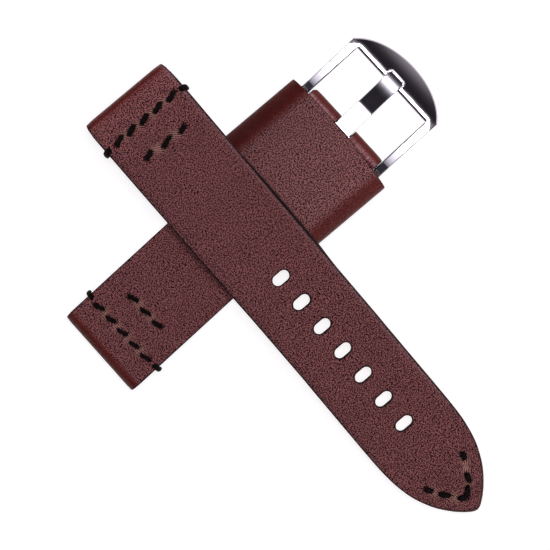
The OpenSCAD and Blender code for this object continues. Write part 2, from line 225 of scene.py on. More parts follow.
# underside of each piece, for the lining; q is the place along the strap
_u = np.arange(14.0, LONG_LEN + 0.8, 0.25)
_p = bent(_u, 0.0)
long_under = Path(_p[::-1], -_u[::-1], smooth=0)
_y = np.arange(14.0, 60.0, 0.25)
short_under = Path(np.stack([_y, np.full_like(_y, SHORT_Z)], axis=-1)[::-1], -_y[::-1], smooth=0)


# ---------------------------------------------------------------- 2D shapes

def long_half(q):
    """Half width of the long piece before its tip, seen from above."""
    return np.interp(q, [0, 0.25, 1.3, 2.7, 3.1, 7, 20, 52, 56, 74, 95, 98.5, 101.05],
                     [10.8, 10.9, 11.05, 11.15, 11.22, 11.2, 11.12, 10.88, 10.81, 10.77, 10.79, 10.76, 10.68])


def long_tip():
    """Right half of the pointed arch, from its start to the nose."""
    pts = [(101.05, 10.68), (102.5, 10.59), (103.9, 10.47), (105.2, 10.28), (106.5, 10.03), (107.8, 9.74),
           (109.2, 9.34), (110.5, 8.84), (111.8, 8.25), (113.2, 7.56), (114.5, 6.76), (115.8, 5.81),
           (117.1, 4.72), (118.0, 3.88), (118.9, 2.92), (119.5, 2.17), (120.05, 1.45), (120.45, 0.72), (120.6, 0.0)]
    for _ in range(3):                  # cut the corners into a smooth curve
        cut = [pts[0]]
        for p, q in zip(pts[:-1], pts[1:]):
            cut.append((p[0] * 0.75 + q[0] * 0.25, p[1] * 0.75 + q[1] * 0.25))
            cut.append((p[0] * 0.25 + q[0] * 0.75, p[1] * 0.25 + q[1] * 0.75))
        pts = cut + [pts[-1]]
    return pts


def resample(loop, step):
    """A closed loop with no side longer than step."""
    out = []
    n = len(loop)
    for i in range(n):
        p, q = loop[i], loop[(i + 1) % n]
        k = max(1, int(math.ceil(math.hypot(q[0] - p[0], q[1] - p[1]) / step)))
        for j in range(k):
            t = j / k
            out.append((p[0] + (q[0] - p[0]) * t, p[1] + (q[1] - p[1]) * t))
    return np.array(out)


def area(loop):
    x, y = loop[:, 0], loop[:, 1]
    return 0.5 * float(np.sum(x * np.roll(y, -1) - np.roll(x, -1) * y))


def offset_loop(loop, d):
    """Each point moved d to the left of the loop's direction."""
    a = loop - np.roll(loop, 1, axis=0)
    b = np.roll(loop, -1, axis=0) - loop
    a /= np.hypot(*a.T)[:, None] + 1e-12
    b /= np.hypot(*b.T)[:, None] + 1e-12
    na = np.stack([-a[:, 1], a[:, 0]], axis=-1)
    nb = np.stack([-b[:, 1], b[:, 0]], axis=-1)
    m = na + nb
    m /= np.hypot(*m.T)[:, None] + 1e-12
    c = np.clip((m * na).sum(axis=1), 0.6, 1.0)
    return loop + m * (d / c)[:, None]


def inside(points, loop):
    x, y = points[:, 0], points[:, 1]
    ok = np.zeros(len(points), dtype=bool)
    ax, ay = loop[:, 0], loop[:, 1]
    bx, by = np.roll(ax, -1), np.roll(ay, -1)
    for i in range(len(loop)):
        if ay[i] == by[i]:
            continue
        cross = (ay[i] > y) != (by[i] > y)
        xs = (bx[i] - ax[i]) * (y - ay[i]) / (by[i] - ay[i]) + ax[i]
        ok ^= cross & (x < xs)
    return ok


def loop_distance(points, loop):
    a = loop
    d = np.roll(loop, -1, axis=0) - a
    dd = (d * d).sum(axis=1) + 1e-12
    best = np.full(len(points), 1e9)
    for s in range(0, len(points), 4000):
        p = points[s:s + 4000]
        w = p[:, None, :] - a[None]
        t = np.clip((w * d[None]).sum(axis=2) / dd[None], 0, 1)
        v = w - t[..., None] * d[None]
        best[s:s + 4000] = np.sqrt((v * v).sum(axis=2).min(axis=1))
    return best


def seg_distance(q, x, a, b):
    """Distance from each (q, x) to the line from a to b."""
    ax, ay = a
    dx, dy = b[0] - ax, b[1] - ay
    t = np.clip(((q - ax) * dx + (x - ay) * dy) / (dx * dx + dy * dy), 0, 1)
    return np.hypot(q - ax - t * dx, x - ay - t * dy)


def hex_grid(x0, x1, y0, y1, step):
    rows = int((y1 - y0) / (step * 0.866)) + 1
    cols = int((x1 - x0) / step) + 1
    out = []
    for j in range(rows):
        xs = x0 + step * (np.arange(cols) + (0.5 if j % 2 else 0.0))
        out.append(np.stack([xs, np.full_like(xs, y0 + j * step * 0.866)], axis=-1))
    return np.concatenate(out)


def triangulate(outer, holes, rings, points):
    """Triangles that fill outer less holes, through the rings and points."""
    coords, edges = [], []

    def add_loop(loop):
        k = len(coords)
        coords.extend(map(tuple, loop))
        n = len(loop)
        edges.extend((k + i, k + (i + 1) % n) for i in range(n))
        return range(k, k + n)

    ids = [add_loop(outer)] + [add_loop(h) for h in holes]
    for r in rings:
        add_loop(r)
    coords.extend(map(tuple, points))
    res = delaunay_2d_cdt([Vector(c) for c in coords], edges, [], 0, 1e-6, True)
    verts = np.array([tuple(v) for v in res[0]])
    tris = np.array([f for f in res[2] if len(f) == 3])
    back = {}
    for i, olds in enumerate(res[3]):
        for o in olds:
            back[o] = i
    loops = [[back[i] for i in r] for r in ids]
    mid = verts[tris].mean(axis=1)
    keep = inside(mid, outer)
    for h in holes:
        keep &= ~inside(mid, h)
    tris = tris[keep]
    # leave out slivers that lie on a boundary
    a, b, c = verts[tris[:, 0]], verts[tris[:, 1]], verts[tris[:, 2]]
    ar = 0.5 * ((b[:, 0] - a[:, 0]) * (c[:, 1] - a[:, 1]) - (c[:, 0] - a[:, 0]) * (b[:, 1] - a[:, 1]))
    flip = ar < 0
    tris[flip] = tris[flip][:, ::-1]
    return verts, tris, loops


def new_object(name, verts, faces, attributes=None, smooth=True):
    mesh = bpy.data.meshes.new(name)
    mesh.from_pydata([tuple(v) for v in verts], [], [tuple(int(i) for i in f) for f in faces])
    for key, values in (attributes or {}).items():
        layer = mesh.attributes.new(key, "FLOAT", "POINT")
        layer.data.foreach_set("value", np.asarray(values, dtype=np.float32))
    bm = bmesh.new()
    bm.from_mesh(mesh)
    bmesh.ops.recalc_face_normals(bm, faces=bm.faces)
    bm.to_mesh(mesh)
    bm.free()
    mesh.polygons.foreach_set("use_smooth", [smooth] * len(mesh.polygons))
    mesh.update()
    obj = bpy.data.objects.new(name, mesh)
    bpy.context.scene.collection.objects.link(obj)
    return obj


def sheet(name, outer, holes, path, place, thick, edge_r=0.3, hole_r=0.18, low_r=0.12,
          step=0.5, near=None, near_step=0.17, relief=None, paint=None, wall_rows=5,
          crown=0.0, crown_w=1.3, rim_w=0.42, chamfer=None, flare=None):
    """A bent sheet of leather or metal: a dense outer face with rounded edges,
    walls, and an inner face thick(q, x) below it."""
    outer = np.array(outer)
    if area(outer) < 0:
        outer = outer[::-1]
    holes = [np.array(h) for h in holes]
    holes = [h[::-1] if area(h) > 0 else h for h in holes]      # run clockwise
    frac = [0.12, 0.35, 0.65, 1.0] if not chamfer else [0.08, 0.5, 0.92, 1.0, 1.12]
    rings = [offset_loop(outer, edge_r * f) for f in frac]
    frac = [0.12, 0.35, 0.65, 1.0]
    if crown:
        rings.append(offset_loop(outer, edge_r + 0.25))
    for h in holes:
        rings += [offset_loop(h, hole_r * f) for f in frac]
    # inside points, finer near the stitching
    lo, hi = outer.min(axis=0), outer.max(axis=0)
    pts = hex_grid(lo[0], hi[0], lo[1], hi[1], step)
    rnd = np.random.RandomState(len(name) * 7 + 3)
    pts = pts + (rnd.rand(*pts.shape) - 0.5) * step * 0.12
    pts = pts[inside(pts, outer)]
    if near is not None:
        fine = hex_grid(lo[0], hi[0], lo[1], hi[1], near_step)
        fine = fine[near(fine[:, 0], fine[:, 1]) > 0.5]
        pts = pts[near(pts[:, 0], pts[:, 1]) <= 0.5]
        pts = np.concatenate([pts, fine[inside(fine, outer)]])
    ok = loop_distance(pts, outer) > edge_r * 1.25
    for h in holes:
        ok &= ~inside(pts, h)
        ok &= loop_distance(pts, h) > hole_r * 1.4
    pts = pts[ok]
    verts, tris, loops = triangulate(outer, holes, rings, pts)
    q, x = verts[:, 0], verts[:, 1]
    d_out = loop_distance(verts, outer)
    d_hole = np.full(len(verts), 1e3)
    for h in holes:
        d_hole = np.minimum(d_hole, loop_distance(verts, h))

    def rounding(d, r):
        t = np.clip(r - d, 0, r)
        return r - np.sqrt(np.maximum(r * r - t * t, 0))

    depth = rounding(d_out, edge_r) + rounding(d_hole, hole_r)
    if chamfer:
        depth = np.clip(edge_r - d_out, 0, edge_r) * chamfer
    depth = depth + crown * np.clip(1 - d_out / crown_w, 0, 1) ** 2
    extra = relief(q, x) if relief else 0.0
    depth = depth + extra
    th = thick(q, x)
    n = len(verts)
    all_q, all_x, all_d = [q], [x], [depth]
    faces = [tris]
    # inner face
    low = np.maximum(th - 0.0, 0.05)
    all_q.append(q.copy())
    all_x.append(x.copy())
    all_d.append(low)
    faces_low = tris[:, ::-1] + n
    total = 2 * n
    walls = []
    rim_extra = []
    for loop in loops:
        loop = np.array(loop)
        m = len(loop)
        prev = loop
        pin = verts[loop]
        for k in range(1, wall_rows + 1):
            if k == wall_rows:
                cur = loop + n
            else:
                t = k / wall_rows
                dd = depth[loop] * (1 - t) + (th[loop] - low_r) * t
                all_q.append(pin[:, 0])
                all_x.append(pin[:, 1])
                all_d.append(dd)
                cur = np.arange(total, total + m)
                total += m
            nxt_p, nxt_c = np.roll(prev, -1), np.roll(cur, -1)
            walls.append(np.stack([prev, cur, nxt_c, nxt_p], axis=-1))
            prev = cur
    q3 = np.concatenate(all_q)
    x3 = np.concatenate(all_x)
    d3 = np.concatenate(all_d)
    if flare:
        # the cut edge slopes out towards its lower side
        on_edge = np.zeros(len(q3), dtype=bool)
        on_edge[2 * n:] = True
        on_edge[:2 * n] = np.tile(d_out < 1e-4, 2)
        wall_t = np.clip(d3 / np.maximum(thick(q3, x3), 0.1), 0, 1)
        x3 = x3 + np.where(on_edge, flare(q3, x3) * wall_t, 0.0)
    a3, b3 = path.at(q3, d3)
    xyz = place(a3, b3, x3)
    rim = np.ones(len(q3))
    rim[:n] = np.clip(1.0 - (np.minimum(d_out, d_hole) - 0.05) / rim_w, 0, 1)
    rim[n:2 * n] = 0.0
    attrs = {"rim": rim, "pq": q3 + 0.8 * d3, "px": x3 + 0.8 * d3}
    burn = np.zeros(len(q3))
    burn[:n] = np.exp(-((d_out - 0.85) / 0.32) ** 2)
    attrs["burnish"] = burn
    if paint:
        for key, values in paint(q, x).items():
            full = np.zeros(len(q3))
            full[:n] = values
            attrs[key] = full
    flat = [tuple(f) for f in np.concatenate([faces[0], faces_low])]
    quads = [tuple(f) for w in walls for f in w]
    return new_object(name, xyz, flat + quads, attrs)


# ----------------------------------------------------------------- materials

def node_tree(name):
    mat = bpy.data.materials.new(name)
    mat.use_nodes = True
    nt = mat.node_tree
    for n in list(nt.nodes):
        nt.nodes.remove(n)
    out = nt.nodes.new("ShaderNodeOutputMaterial")
    bsdf = nt.nodes.new("ShaderNodeBsdfPrincipled")
    nt.links.new(bsdf.outputs["BSDF"], out.inputs["Surface"])
    return mat, nt, bsdf


def nd(nt, kind, **props):
    n = nt.nodes.new(kind)
    for k, v in props.items():
        setattr(n, k, v)
    return n


def setin(node, name, value):
    node.inputs[name].default_value = value


def math_node(nt, op, a, b=None, c=None, clamp=False):
    n = nd(nt, "ShaderNodeMath", operation=op, use_clamp=clamp)
    for i, v in enumerate((a, b, c)):
        if v is None:
            continue
        if isinstance(v, (int, float)):
            n.inputs[i].default_value = v
        else:
            nt.links.new(v, n.inputs[i])
    return n.outputs[0]


def mix_colour(nt, fac, a, b, blend="MIX"):
    n = nd(nt, "ShaderNodeMix", data_type="RGBA", blend_type=blend)
    ins = [n.inputs[0], n.inputs[6], n.inputs[7]]
    for s, v in zip(ins, (fac, a, b)):
        if isinstance(v, (int, float)):
            s.default_value = v
        elif isinstance(v, (tuple, list)):
            s.default_value = (*v, 1.0) if len(v) == 3 else v
        else:
            nt.links.new(v, s)
    return n.outputs[2]


def ramp(nt, src, stops):
    n = nd(nt, "ShaderNodeValToRGB")
    nt.links.new(src, n.inputs[0])
    els = n.color_ramp.elements
    while len(els) > 1:
        els.remove(els[-1])
    els[0].position = stops[0][0]
    els[0].color = (*stops[0][1], 1)
    for pos, col in stops[1:]:
        e = els.new(pos)
        e.color = (*col, 1)
    return n.outputs[0]


def grey(v):
    return (v, v, v)


def smooth_step(t):
    t = np.clip(t, 0, 1)
    return t * t * (3 - 2 * t)


def leather_material(name, gap, top, rough=0.42, grain=1.0, edge=(0.008, 0.0035, 0.004),
                     specular=0.22, cell=2.8, fold_colour=(0.16, 0.008, 0.002), plain=(0.15, 0.008, 0.002)):
    """Pebbled, drum-dyed leather: shiny rounded tops over darker, duller gaps, with painted highlight and painted shade
    in its colour.
    """
    mat, nt, bsdf = node_tree(name)
    tc = nd(nt, "ShaderNodeTexCoord")
    pos = tc.outputs["Object"]

    def tex_noise(scale, detail=3.0, rough_=0.55, vector=pos):
        n = nd(nt, "ShaderNodeTexNoise")
        nt.links.new(vector, n.inputs["Vector"])
        setin(n, "Scale", scale)
        setin(n, "Detail", detail)
        setin(n, "Roughness", rough_)
        return n.outputs["Fac"]

    def attr(key):
        return nd(nt, "ShaderNodeAttribute", attribute_name=key).outputs["Fac"]

    # pebbles about half a millimetre across, laid out along the sheet in millimetres
    flat = nd(nt, "ShaderNodeCombineXYZ")
    nt.links.new(attr("pq"), flat.inputs[0])
    nt.links.new(attr("px"), flat.inputs[1])
    warp = nd(nt, "ShaderNodeTexNoise")
    nt.links.new(flat.outputs[0], warp.inputs["Vector"])
    setin(warp, "Scale", 1.3)
    setin(warp, "Detail", 2.0)
    add = nd(nt, "ShaderNodeVectorMath", operation="MULTIPLY_ADD")
    nt.links.new(warp.outputs["Color"], add.inputs[0])
    add.inputs[1].default_value = (0.16, 0.16, 0.0)
    nt.links.new(flat.outputs[0], add.inputs[2])
    vor = nd(nt, "ShaderNodeTexVoronoi", feature="F1", voronoi_dimensions="2D")
    nt.links.new(add.outputs[0], vor.inputs["Vector"])
    setin(vor, "Scale", cell)
    setin(vor, "Randomness", 0.8)
    blob = nd(nt, "ShaderNodeTexNoise", noise_dimensions="2D")
    nt.links.new(flat.outputs[0], blob.inputs["Vector"])
    setin(blob, "Scale", cell * 1.4)
    setin(blob, "Detail", 0.0)
    vor2 = nd(nt, "ShaderNodeTexVoronoi", feature="F1", voronoi_dimensions="2D")
    nt.links.new(add.outputs[0], vor2.inputs["Vector"])
    setin(vor2, "Scale", cell * 1.7)
    fine = tex_noise(5200.0, 3.0, 0.6)
    medium = tex_noise(620.0, 3.0)
    broad = tex_noise(70.0, 3.0)
    dome = math_node(nt, "SUBTRACT", 1.0, vor.outputs["Distance"])
    dome2 = math_node(nt, "SUBTRACT", 1.0, vor2.outputs["Distance"])
    sq = math_node(nt, "POWER", vor.outputs["Distance"], 2.0)
    sq2 = math_node(nt, "POWER", vor2.outputs["Distance"], 2.0)
    height = math_node(nt, "MULTIPLY_ADD", sq, -1.5, 1.0)
    height = math_node(nt, "MULTIPLY_ADD", sq2, -0.35, height)
    height = math_node(nt, "MULTIPLY_ADD", blob.outputs["Fac"], 0.9, height)
    height = math_node(nt, "MULTIPLY_ADD", fine, 0.08, height)
    height = math_node(nt, "MULTIPLY_ADD", medium, 0.3, height)

    # fine creases where the sheet is folded
    fold = attr("fold")
    comb = nd(nt, "ShaderNodeCombineXYZ")
    nt.links.new(attr("crease_x"), comb.inputs[0])
    nt.links.new(attr("crease_y"), comb.inputs[1])
    crease = nd(nt, "ShaderNodeTexNoise")
    nt.links.new(comb.outputs[0], crease.inputs["Vector"])
    setin(crease, "Scale", 1.0)
    setin(crease, "Detail", 2.0)
    crease_h = math_node(nt, "MULTIPLY", crease.outputs["Fac"], fold)
    height = math_node(nt, "MULTIPLY_ADD", crease_h, 0.9, height)

    bump = nd(nt, "ShaderNodeBump")
    setin(bump, "Strength", 1.0)
    setin(bump, "Distance", 0.0001 * grain)
    nt.links.new(height, bump.inputs["Height"])
    nt.links.new(bump.outputs["Normal"], bsdf.inputs["Normal"])

    # colour: pebble grain, the tops lighter than the gaps with a painted pinkish highlight, near black on the edges
    pebble = math_node(nt, "MULTIPLY", dome, 0.55)
    pebble = math_node(nt, "MULTIPLY_ADD", fine, 0.15, pebble)
    pebble = math_node(nt, "MULTIPLY_ADD", blob.outputs["Fac"], 1.3, pebble)
    pebble = math_node(nt, "MULTIPLY", pebble, 0.9)
    tops = ramp(nt, pebble, [(0.894, grey(0.0)), (0.946, grey(1.0))])
    col = mix_colour(nt, tops, gap, top)
    # painted shade where the sheet turns from the light: a plain darker red with no painted highlight on the tops
    smooth = math_node(nt, "MULTIPLY", attr("bare"), 1.0, clamp=True)
    col = mix_colour(nt, smooth, col, mix_colour(nt, tops, tuple(c * 0.86 for c in plain), tuple(c * 1.12 for c in plain)))
    mott = ramp(nt, broad, [(0.3, grey(0.95)), (0.7, grey(1.04))])
    col = mix_colour(nt, 1.0, col, mott, "MULTIPLY")
    med = ramp(nt, medium, [(0.3, grey(0.95)), (0.72, grey(1.05))])
    col = mix_colour(nt, 1.0, col, med, "MULTIPLY")
    # over the folds: a plain saturated red mixed in, without the painted highlight of the tops
    pull = attr("pull")
    fold_plain_f = math_node(nt, "MULTIPLY", pull, 0.85, clamp=True)
    col = mix_colour(nt, fold_plain_f, col, fold_colour)
    # painted highlight: paler in streaks over a fold and along one edge, speckled with the tops
    streak = math_node(nt, "SUBTRACT", crease.outputs["Fac"], 0.5)
    streak = math_node(nt, "MULTIPLY", streak, fold)
    streak = math_node(nt, "MULTIPLY_ADD", streak, 4.5, 1.0)
    speck = math_node(nt, "MULTIPLY_ADD", tops, 0.95, 0.6)
    streak = math_node(nt, "MULTIPLY", streak, speck)
    pale = math_node(nt, "MULTIPLY", attr("pale"), streak, clamp=True)
    col = mix_colour(nt, pale, col, (0.46, 0.25, 0.25))
    # painted shade: darker where the sheet turns from the light, and painted light where the value is below zero
    shade = math_node(nt, "MULTIPLY_ADD", attr("shade"), -1.0, 1.0)
    comb2 = nd(nt, "ShaderNodeCombineColor")
    for i in range(3):
        nt.links.new(shade, comb2.inputs[i])
    col = mix_colour(nt, 1.0, col, comb2.outputs[0], "MULTIPLY")
    dent = attr("dent")
    dent_f = math_node(nt, "MULTIPLY", dent, 0.95, clamp=True)
    col = mix_colour(nt, dent_f, col, (gap[0] * 0.1, gap[1] * 0.1, gap[2] * 0.1))
    # pale strained lines between stitches
    scar = math_node(nt, "MULTIPLY", attr("scar"), 0.9, clamp=True)
    col = mix_colour(nt, scar, col, (0.8, 0.42, 0.32))
    rim = attr("rim")
    rim_w = math_node(nt, "MULTIPLY_ADD", medium, 0.5, rim)
    rim_f = ramp(nt, rim_w, [(0.62, grey(0.0)), (0.95, grey(1.0))])
    col = mix_colour(nt, rim_f, col, edge)
    nt.links.new(col, bsdf.inputs["Base Color"])
    # tops are polished, gaps are dull
    r = math_node(nt, "MULTIPLY_ADD", tops, -0.4, rough + 0.28)
    r = math_node(nt, "MULTIPLY_ADD", medium, 0.12, r)
    r = math_node(nt, "MULTIPLY_ADD", attr("burnish"), -0.14, r)
    r = math_node(nt, "MULTIPLY_ADD", pull, -0.14, r)
    r = math_node(nt, "MULTIPLY_ADD", attr("bare"), -0.06, r)
    r = math_node(nt, "MULTIPLY_ADD", dent, 0.4, r)
    r = math_node(nt, "MULTIPLY_ADD", rim_f, 0.22, r, clamp=True)
    nt.links.new(r, bsdf.inputs["Roughness"])
    setin(bsdf, "IOR", 1.46)
    setin(bsdf, "Specular IOR Level", specular)
    setin(bsdf, "Specular Tint", (1.0, 0.93, 1.0, 1.0))
    return mat


def thread_material():
    mat, nt, bsdf = node_tree("thread_waxed")
    tc = nd(nt, "ShaderNodeTexCoord")
    n = nd(nt, "ShaderNodeTexNoise")
    nt.links.new(tc.outputs["Object"], n.inputs["Vector"])
    setin(n, "Scale", 9000.0)
    setin(n, "Detail", 3.0)
    n2 = nd(nt, "ShaderNodeTexNoise")
    nt.links.new(tc.outputs["Object"], n2.inputs["Vector"])
    setin(n2, "Scale", 1500.0)
    col = ramp(nt, n2.outputs["Fac"], [(0.35, (0.002, 0.0011, 0.0009)), (0.72, (0.011, 0.005, 0.004))])
    nt.links.new(col, bsdf.inputs["Base Color"])
    r = math_node(nt, "MULTIPLY_ADD", n2.outputs["Fac"], 0.5, 0.2)
    r = math_node(nt, "MULTIPLY_ADD", n.outputs["Fac"], 0.2, r)
    nt.links.new(r, bsdf.inputs["Roughness"])
    bump = nd(nt, "ShaderNodeBump")
    setin(bump, "Distance", 0.00004)
    nt.links.new(n.outputs["Fac"], bump.inputs["Height"])
    nt.links.new(bump.outputs["Normal"], bsdf.inputs["Normal"])
    setin(bsdf, "Specular IOR Level", 0.12)
    return mat


def steel_material(name, colour, rough, brushed=0.0, tone=None):
    mat, nt, bsdf = node_tree(name)
    setin(bsdf, "Metallic", 1.0)
    tc = nd(nt, "ShaderNodeTexCoord")
    # fine wear and haze
    n = nd(nt, "ShaderNodeTexNoise")
    nt.links.new(tc.outputs["Object"], n.inputs["Vector"])
    setin(n, "Scale", 500.0)
    setin(n, "Detail", 4.0)
    col = mix_colour(nt, ramp(nt, n.outputs["Fac"], [(0.35, grey(0.0)), (0.7, grey(1.0))]),
                     tuple(c * 0.97 for c in colour), colour)
    if brushed:
        # long scratches along the strap's width
        mp = nd(nt, "ShaderNodeMapping")
        setin(mp, "Scale", (300.0, 9000.0, 9000.0))
        nt.links.new(tc.outputs["Object"], mp.inputs["Vector"])
        s = nd(nt, "ShaderNodeTexNoise")
        nt.links.new(mp.outputs["Vector"], s.inputs["Vector"])
        setin(s, "Scale", 1.0)
        setin(s, "Detail", 3.0)
        bump = nd(nt, "ShaderNodeBump")
        setin(bump, "Distance", 0.000012 * brushed)
        nt.links.new(s.outputs["Fac"], bump.inputs["Height"])
        nt.links.new(bump.outputs["Normal"], bsdf.inputs["Normal"])
        r = math_node(nt, "MULTIPLY_ADD", s.outputs["Fac"], 0.08, rough - 0.04)
        nt.links.new(r, bsdf.inputs["Roughness"])
    else:
        r = math_node(nt, "MULTIPLY_ADD", n.outputs["Fac"], 0.05, rough - 0.025)
        nt.links.new(r, bsdf.inputs["Roughness"])
    nt.links.new(col, bsdf.inputs["Base Color"])
    return mat


def tape_material():
    mat, nt, bsdf = node_tree("tape_woven")
    tc = nd(nt, "ShaderNodeTexCoord")
    w = nd(nt, "ShaderNodeTexWave", wave_type="BANDS", bands_direction="X")
    nt.links.new(tc.outputs["Object"], w.inputs["Vector"])
    setin(w, "Scale", 900.0)
    w2 = nd(nt, "ShaderNodeTexWave", wave_type="BANDS", bands_direction="Y")
    nt.links.new(tc.outputs["Object"], w2.inputs["Vector"])
    setin(w2, "Scale", 900.0)
    f = math_node(nt, "MULTIPLY", w.outputs["Fac"], w2.outputs["Fac"])
    col = mix_colour(nt, f, (0.16, 0.11, 0.08), (0.32, 0.25, 0.2))
    nt.links.new(col, bsdf.inputs["Base Color"])
    setin(bsdf, "Roughness", 0.85)
    bump = nd(nt, "ShaderNodeBump")
    setin(bump, "Distance", 0.00005)
    nt.links.new(f, bump.inputs["Height"])
    nt.links.new(bump.outputs["Normal"], bsdf.inputs["Normal"])
    return mat


# the tops' pinkish colour is partly the leather's own grain and partly a painted highlight
GAP = (0.018, 0.002, 0.0015)
TOP_WITH_SHEEN = (0.36, 0.125, 0.118)
leather_long = leather_material("leather_long", GAP, TOP_WITH_SHEEN, rough=0.4)
leather_short = leather_material("leather_short", GAP, TOP_WITH_SHEEN, rough=0.4)
leather_keeper = leather_material("leather_keeper", (0.02, 0.002, 0.002), (0.455, 0.182, 0.168), rough=0.37,
                                  plain=(0.16, 0.008, 0.002))
leather_lining = leather_material("leather_lining", (0.11, 0.045, 0.024), (0.25, 0.12, 0.07),
                                  rough=0.56, grain=0.5, edge=(0.03, 0.011, 0.007), cell=2.7, specular=0.4,
                                  plain=(0.19, 0.09, 0.05))
thread_mat = thread_material()
polished = steel_material("steel_polished", (0.9, 0.88, 0.91), 0.06)
tongue_steel = steel_material("steel_tongue", (0.9, 0.88, 0.91), 0.08)
brushed = steel_material("steel_brushed", (0.56, 0.515, 0.55), 0.13, brushed=0.3)
bar_steel = steel_material("steel_bar", (0.72, 0.71, 0.72), 0.24)
tape_mat = tape_material()


def dress(obj, mat, slot, body, *nodes):
    obj.data.materials.clear()
    obj.data.materials.append(mat)
    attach(obj, body)
    if nodes:
        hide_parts(*nodes)


# ---------------------------------------------------------- stitch positions

SLANT = math.radians(21)


def stitch_line(c, along, angle, length):
    """Ends of a stitch centred at (along, c), turned from the row by angle."""
    dq, dx = math.sin(angle) * length / 2, math.cos(angle) * length / 2
    return (along - dq, c - dx), (along + dq, c + dx)


short_rows = [stitch_line(c, 7.0, SLANT, 2.1) for c in (-7.54, -3.77, 0, 3.77, 7.54)]
short_rows += [stitch_line(c, 13.8, SLANT, 2.1) for c in (-3.95, 0.1, 3.85)]
short_hidden = [stitch_line(c, 61.5, SLANT * 0.6, 2.9) for c in (-7.6, -3.8, 0, 3.8, 7.6)]
# v runs against n of the photograph, so the slant turns the other way there
long_rows = [stitch_line(c, 7.45, -SLANT, 2.3) for c in (-7.36, -3.82, -0.11, 3.76, 7.82)]
long_second = [stitch_line(c, u, -SLANT, m) for c, u, m in ((-4.49, 14.15, 2.0), (0.42, 14.45, 2.5), (4.95, 14.6, 1.5))]
tip_rows = [((109.95, -5.8), (111.05, -5.1)),     # lower arm, outer
            ((112.75, -4.15), (114.35, -2.75)),
            ((116.35, -1.5), (116.95, -0.1)),     # a V at the point
            ((116.9, 0.3), (115.55, 1.5)),
            ((114.9, 2.6), (113.2, 3.2)),
            ((110.2, 5.15), (109.2, 5.45))]


def stitch_relief(rows, edges=()):
    """Leather pressed in under the thread and drawn up between the holes."""
    def relief(q, x):
        d = np.zeros_like(q)
        for a, b in rows:
            near = seg_distance(q, x, a, b)
            d += 0.2 * np.exp(-(near / 0.62) ** 2)
            for e in (a, b):
                r = np.hypot(q - e[0], x - e[1])
                d += 0.45 * np.exp(-(r / 0.42) ** 2)
                d -= 0.09 * np.exp(-((r - 1.05) / 0.42) ** 2)
        for i in range(len(rows) - 1):
            b, a = rows[i][1], rows[i + 1][0]
            if math.hypot(b[0] - a[0], b[1] - a[1]) > 3.9:
                continue
            mx, my = (a[0] + b[0]) / 2, (a[1] + b[1]) / 2
            ang = math.atan2(a[1] - b[1], a[0] - b[0])
            lx = (q - mx) * math.cos(ang) + (x - my) * math.sin(ang)
            ly = -(q - mx) * math.sin(ang) + (x - my) * math.cos(ang)
            env = np.exp(-(lx / 0.9) ** 2 - (ly / 0.75) ** 2)
            d += 0.085 * np.cos(2 * math.pi * (ly + 0.35 * lx) / 0.5) * env
        return d
    return relief


def strain(rows, q, x):
    """Lines drawn across the leather from stitch to stitch: +1 pale, -1 dark."""
    out = np.zeros_like(q)
    for i in range(len(rows) - 1):
        b, a = rows[i][1], rows[i + 1][0]
        gap = math.hypot(b[0] - a[0], b[1] - a[1])
        if gap > 3.9 or gap < 0.9:
            continue
        mx, my = (a[0] + b[0]) / 2, (a[1] + b[1]) / 2
        ang = math.atan2(a[1] - b[1], a[0] - b[0])
        lx = (q - mx) * math.cos(ang) + (x - my) * math.sin(ang)
        ly = -(q - mx) * math.sin(ang) + (x - my) * math.cos(ang)
        env = np.exp(-(lx / (0.5 * gap + 0.5)) ** 4 - (ly / 0.9) ** 2)
        wave = -np.cos(2 * math.pi * (ly + 0.3 * lx + 0.12 * np.sin(lx * 2.4)) / 0.49)
        w = np.clip(1.6 * np.sign(wave) * np.abs(wave) ** 0.8 * env, -1, 1)
        out = np.where(np.abs(w) > np.abs(out), w, out)
    return out


def near_rows(rows, margin=1.7):
    def near(q, x):
        m = np.zeros(len(q))
        for a, b in rows:
            m[seg_distance(q, x, a, b) < margin] = 1
        return m
    return near


def dent_paint(rows, fold_fn, fold_plain_fn=None, shade_fn=None, highlight_fn=None, plain_shaded_fn=None):
    def paint(q, x):
        dent = np.zeros_like(q)
        for a, b in rows:
            for e in (a, b):
                r = np.hypot(q - e[0], x - e[1])
                dent = np.maximum(dent, np.exp(-(r / 0.4) ** 2))
            near = seg_distance(q, x, a, b)
            dent = np.maximum(dent, 0.9 * np.exp(-(near / 0.55) ** 2))
        out = {"dent": dent, "fold": fold_fn(q, x), "crease_x": x / 0.42, "crease_y": q / 3.0,
               "scar": np.clip(strain(rows, q, x), 0, 1) * (1 - dent * 0.25) * 0.9,
               "bare": plain_shaded_fn(q, x) if plain_shaded_fn else np.zeros_like(q)}
        out["dent"] = np.maximum(dent, 0.85 * np.clip(-strain(rows, q, x), 0, 1))
        if fold_plain_fn:
            out["pull"] = fold_plain_fn(q, x)
        if shade_fn:
            out["shade"] = shade_fn(q, x)
        if highlight_fn:
            out["pale"] = highlight_fn(q, x)
        return out
    return paint


def bump_fn(q, c, w):
    return np.exp(-((q - c) / w) ** 2)


# ------------------------------------------------------------- short leather

_hw_y = [0, 0.25, 1.2, 2.4, 74.4, 74.75, 75.05, 76]
_hw_x = [10.9, 10.97, 11.02, 11.05, 11.05, 10.9, 10.62, 10.5]


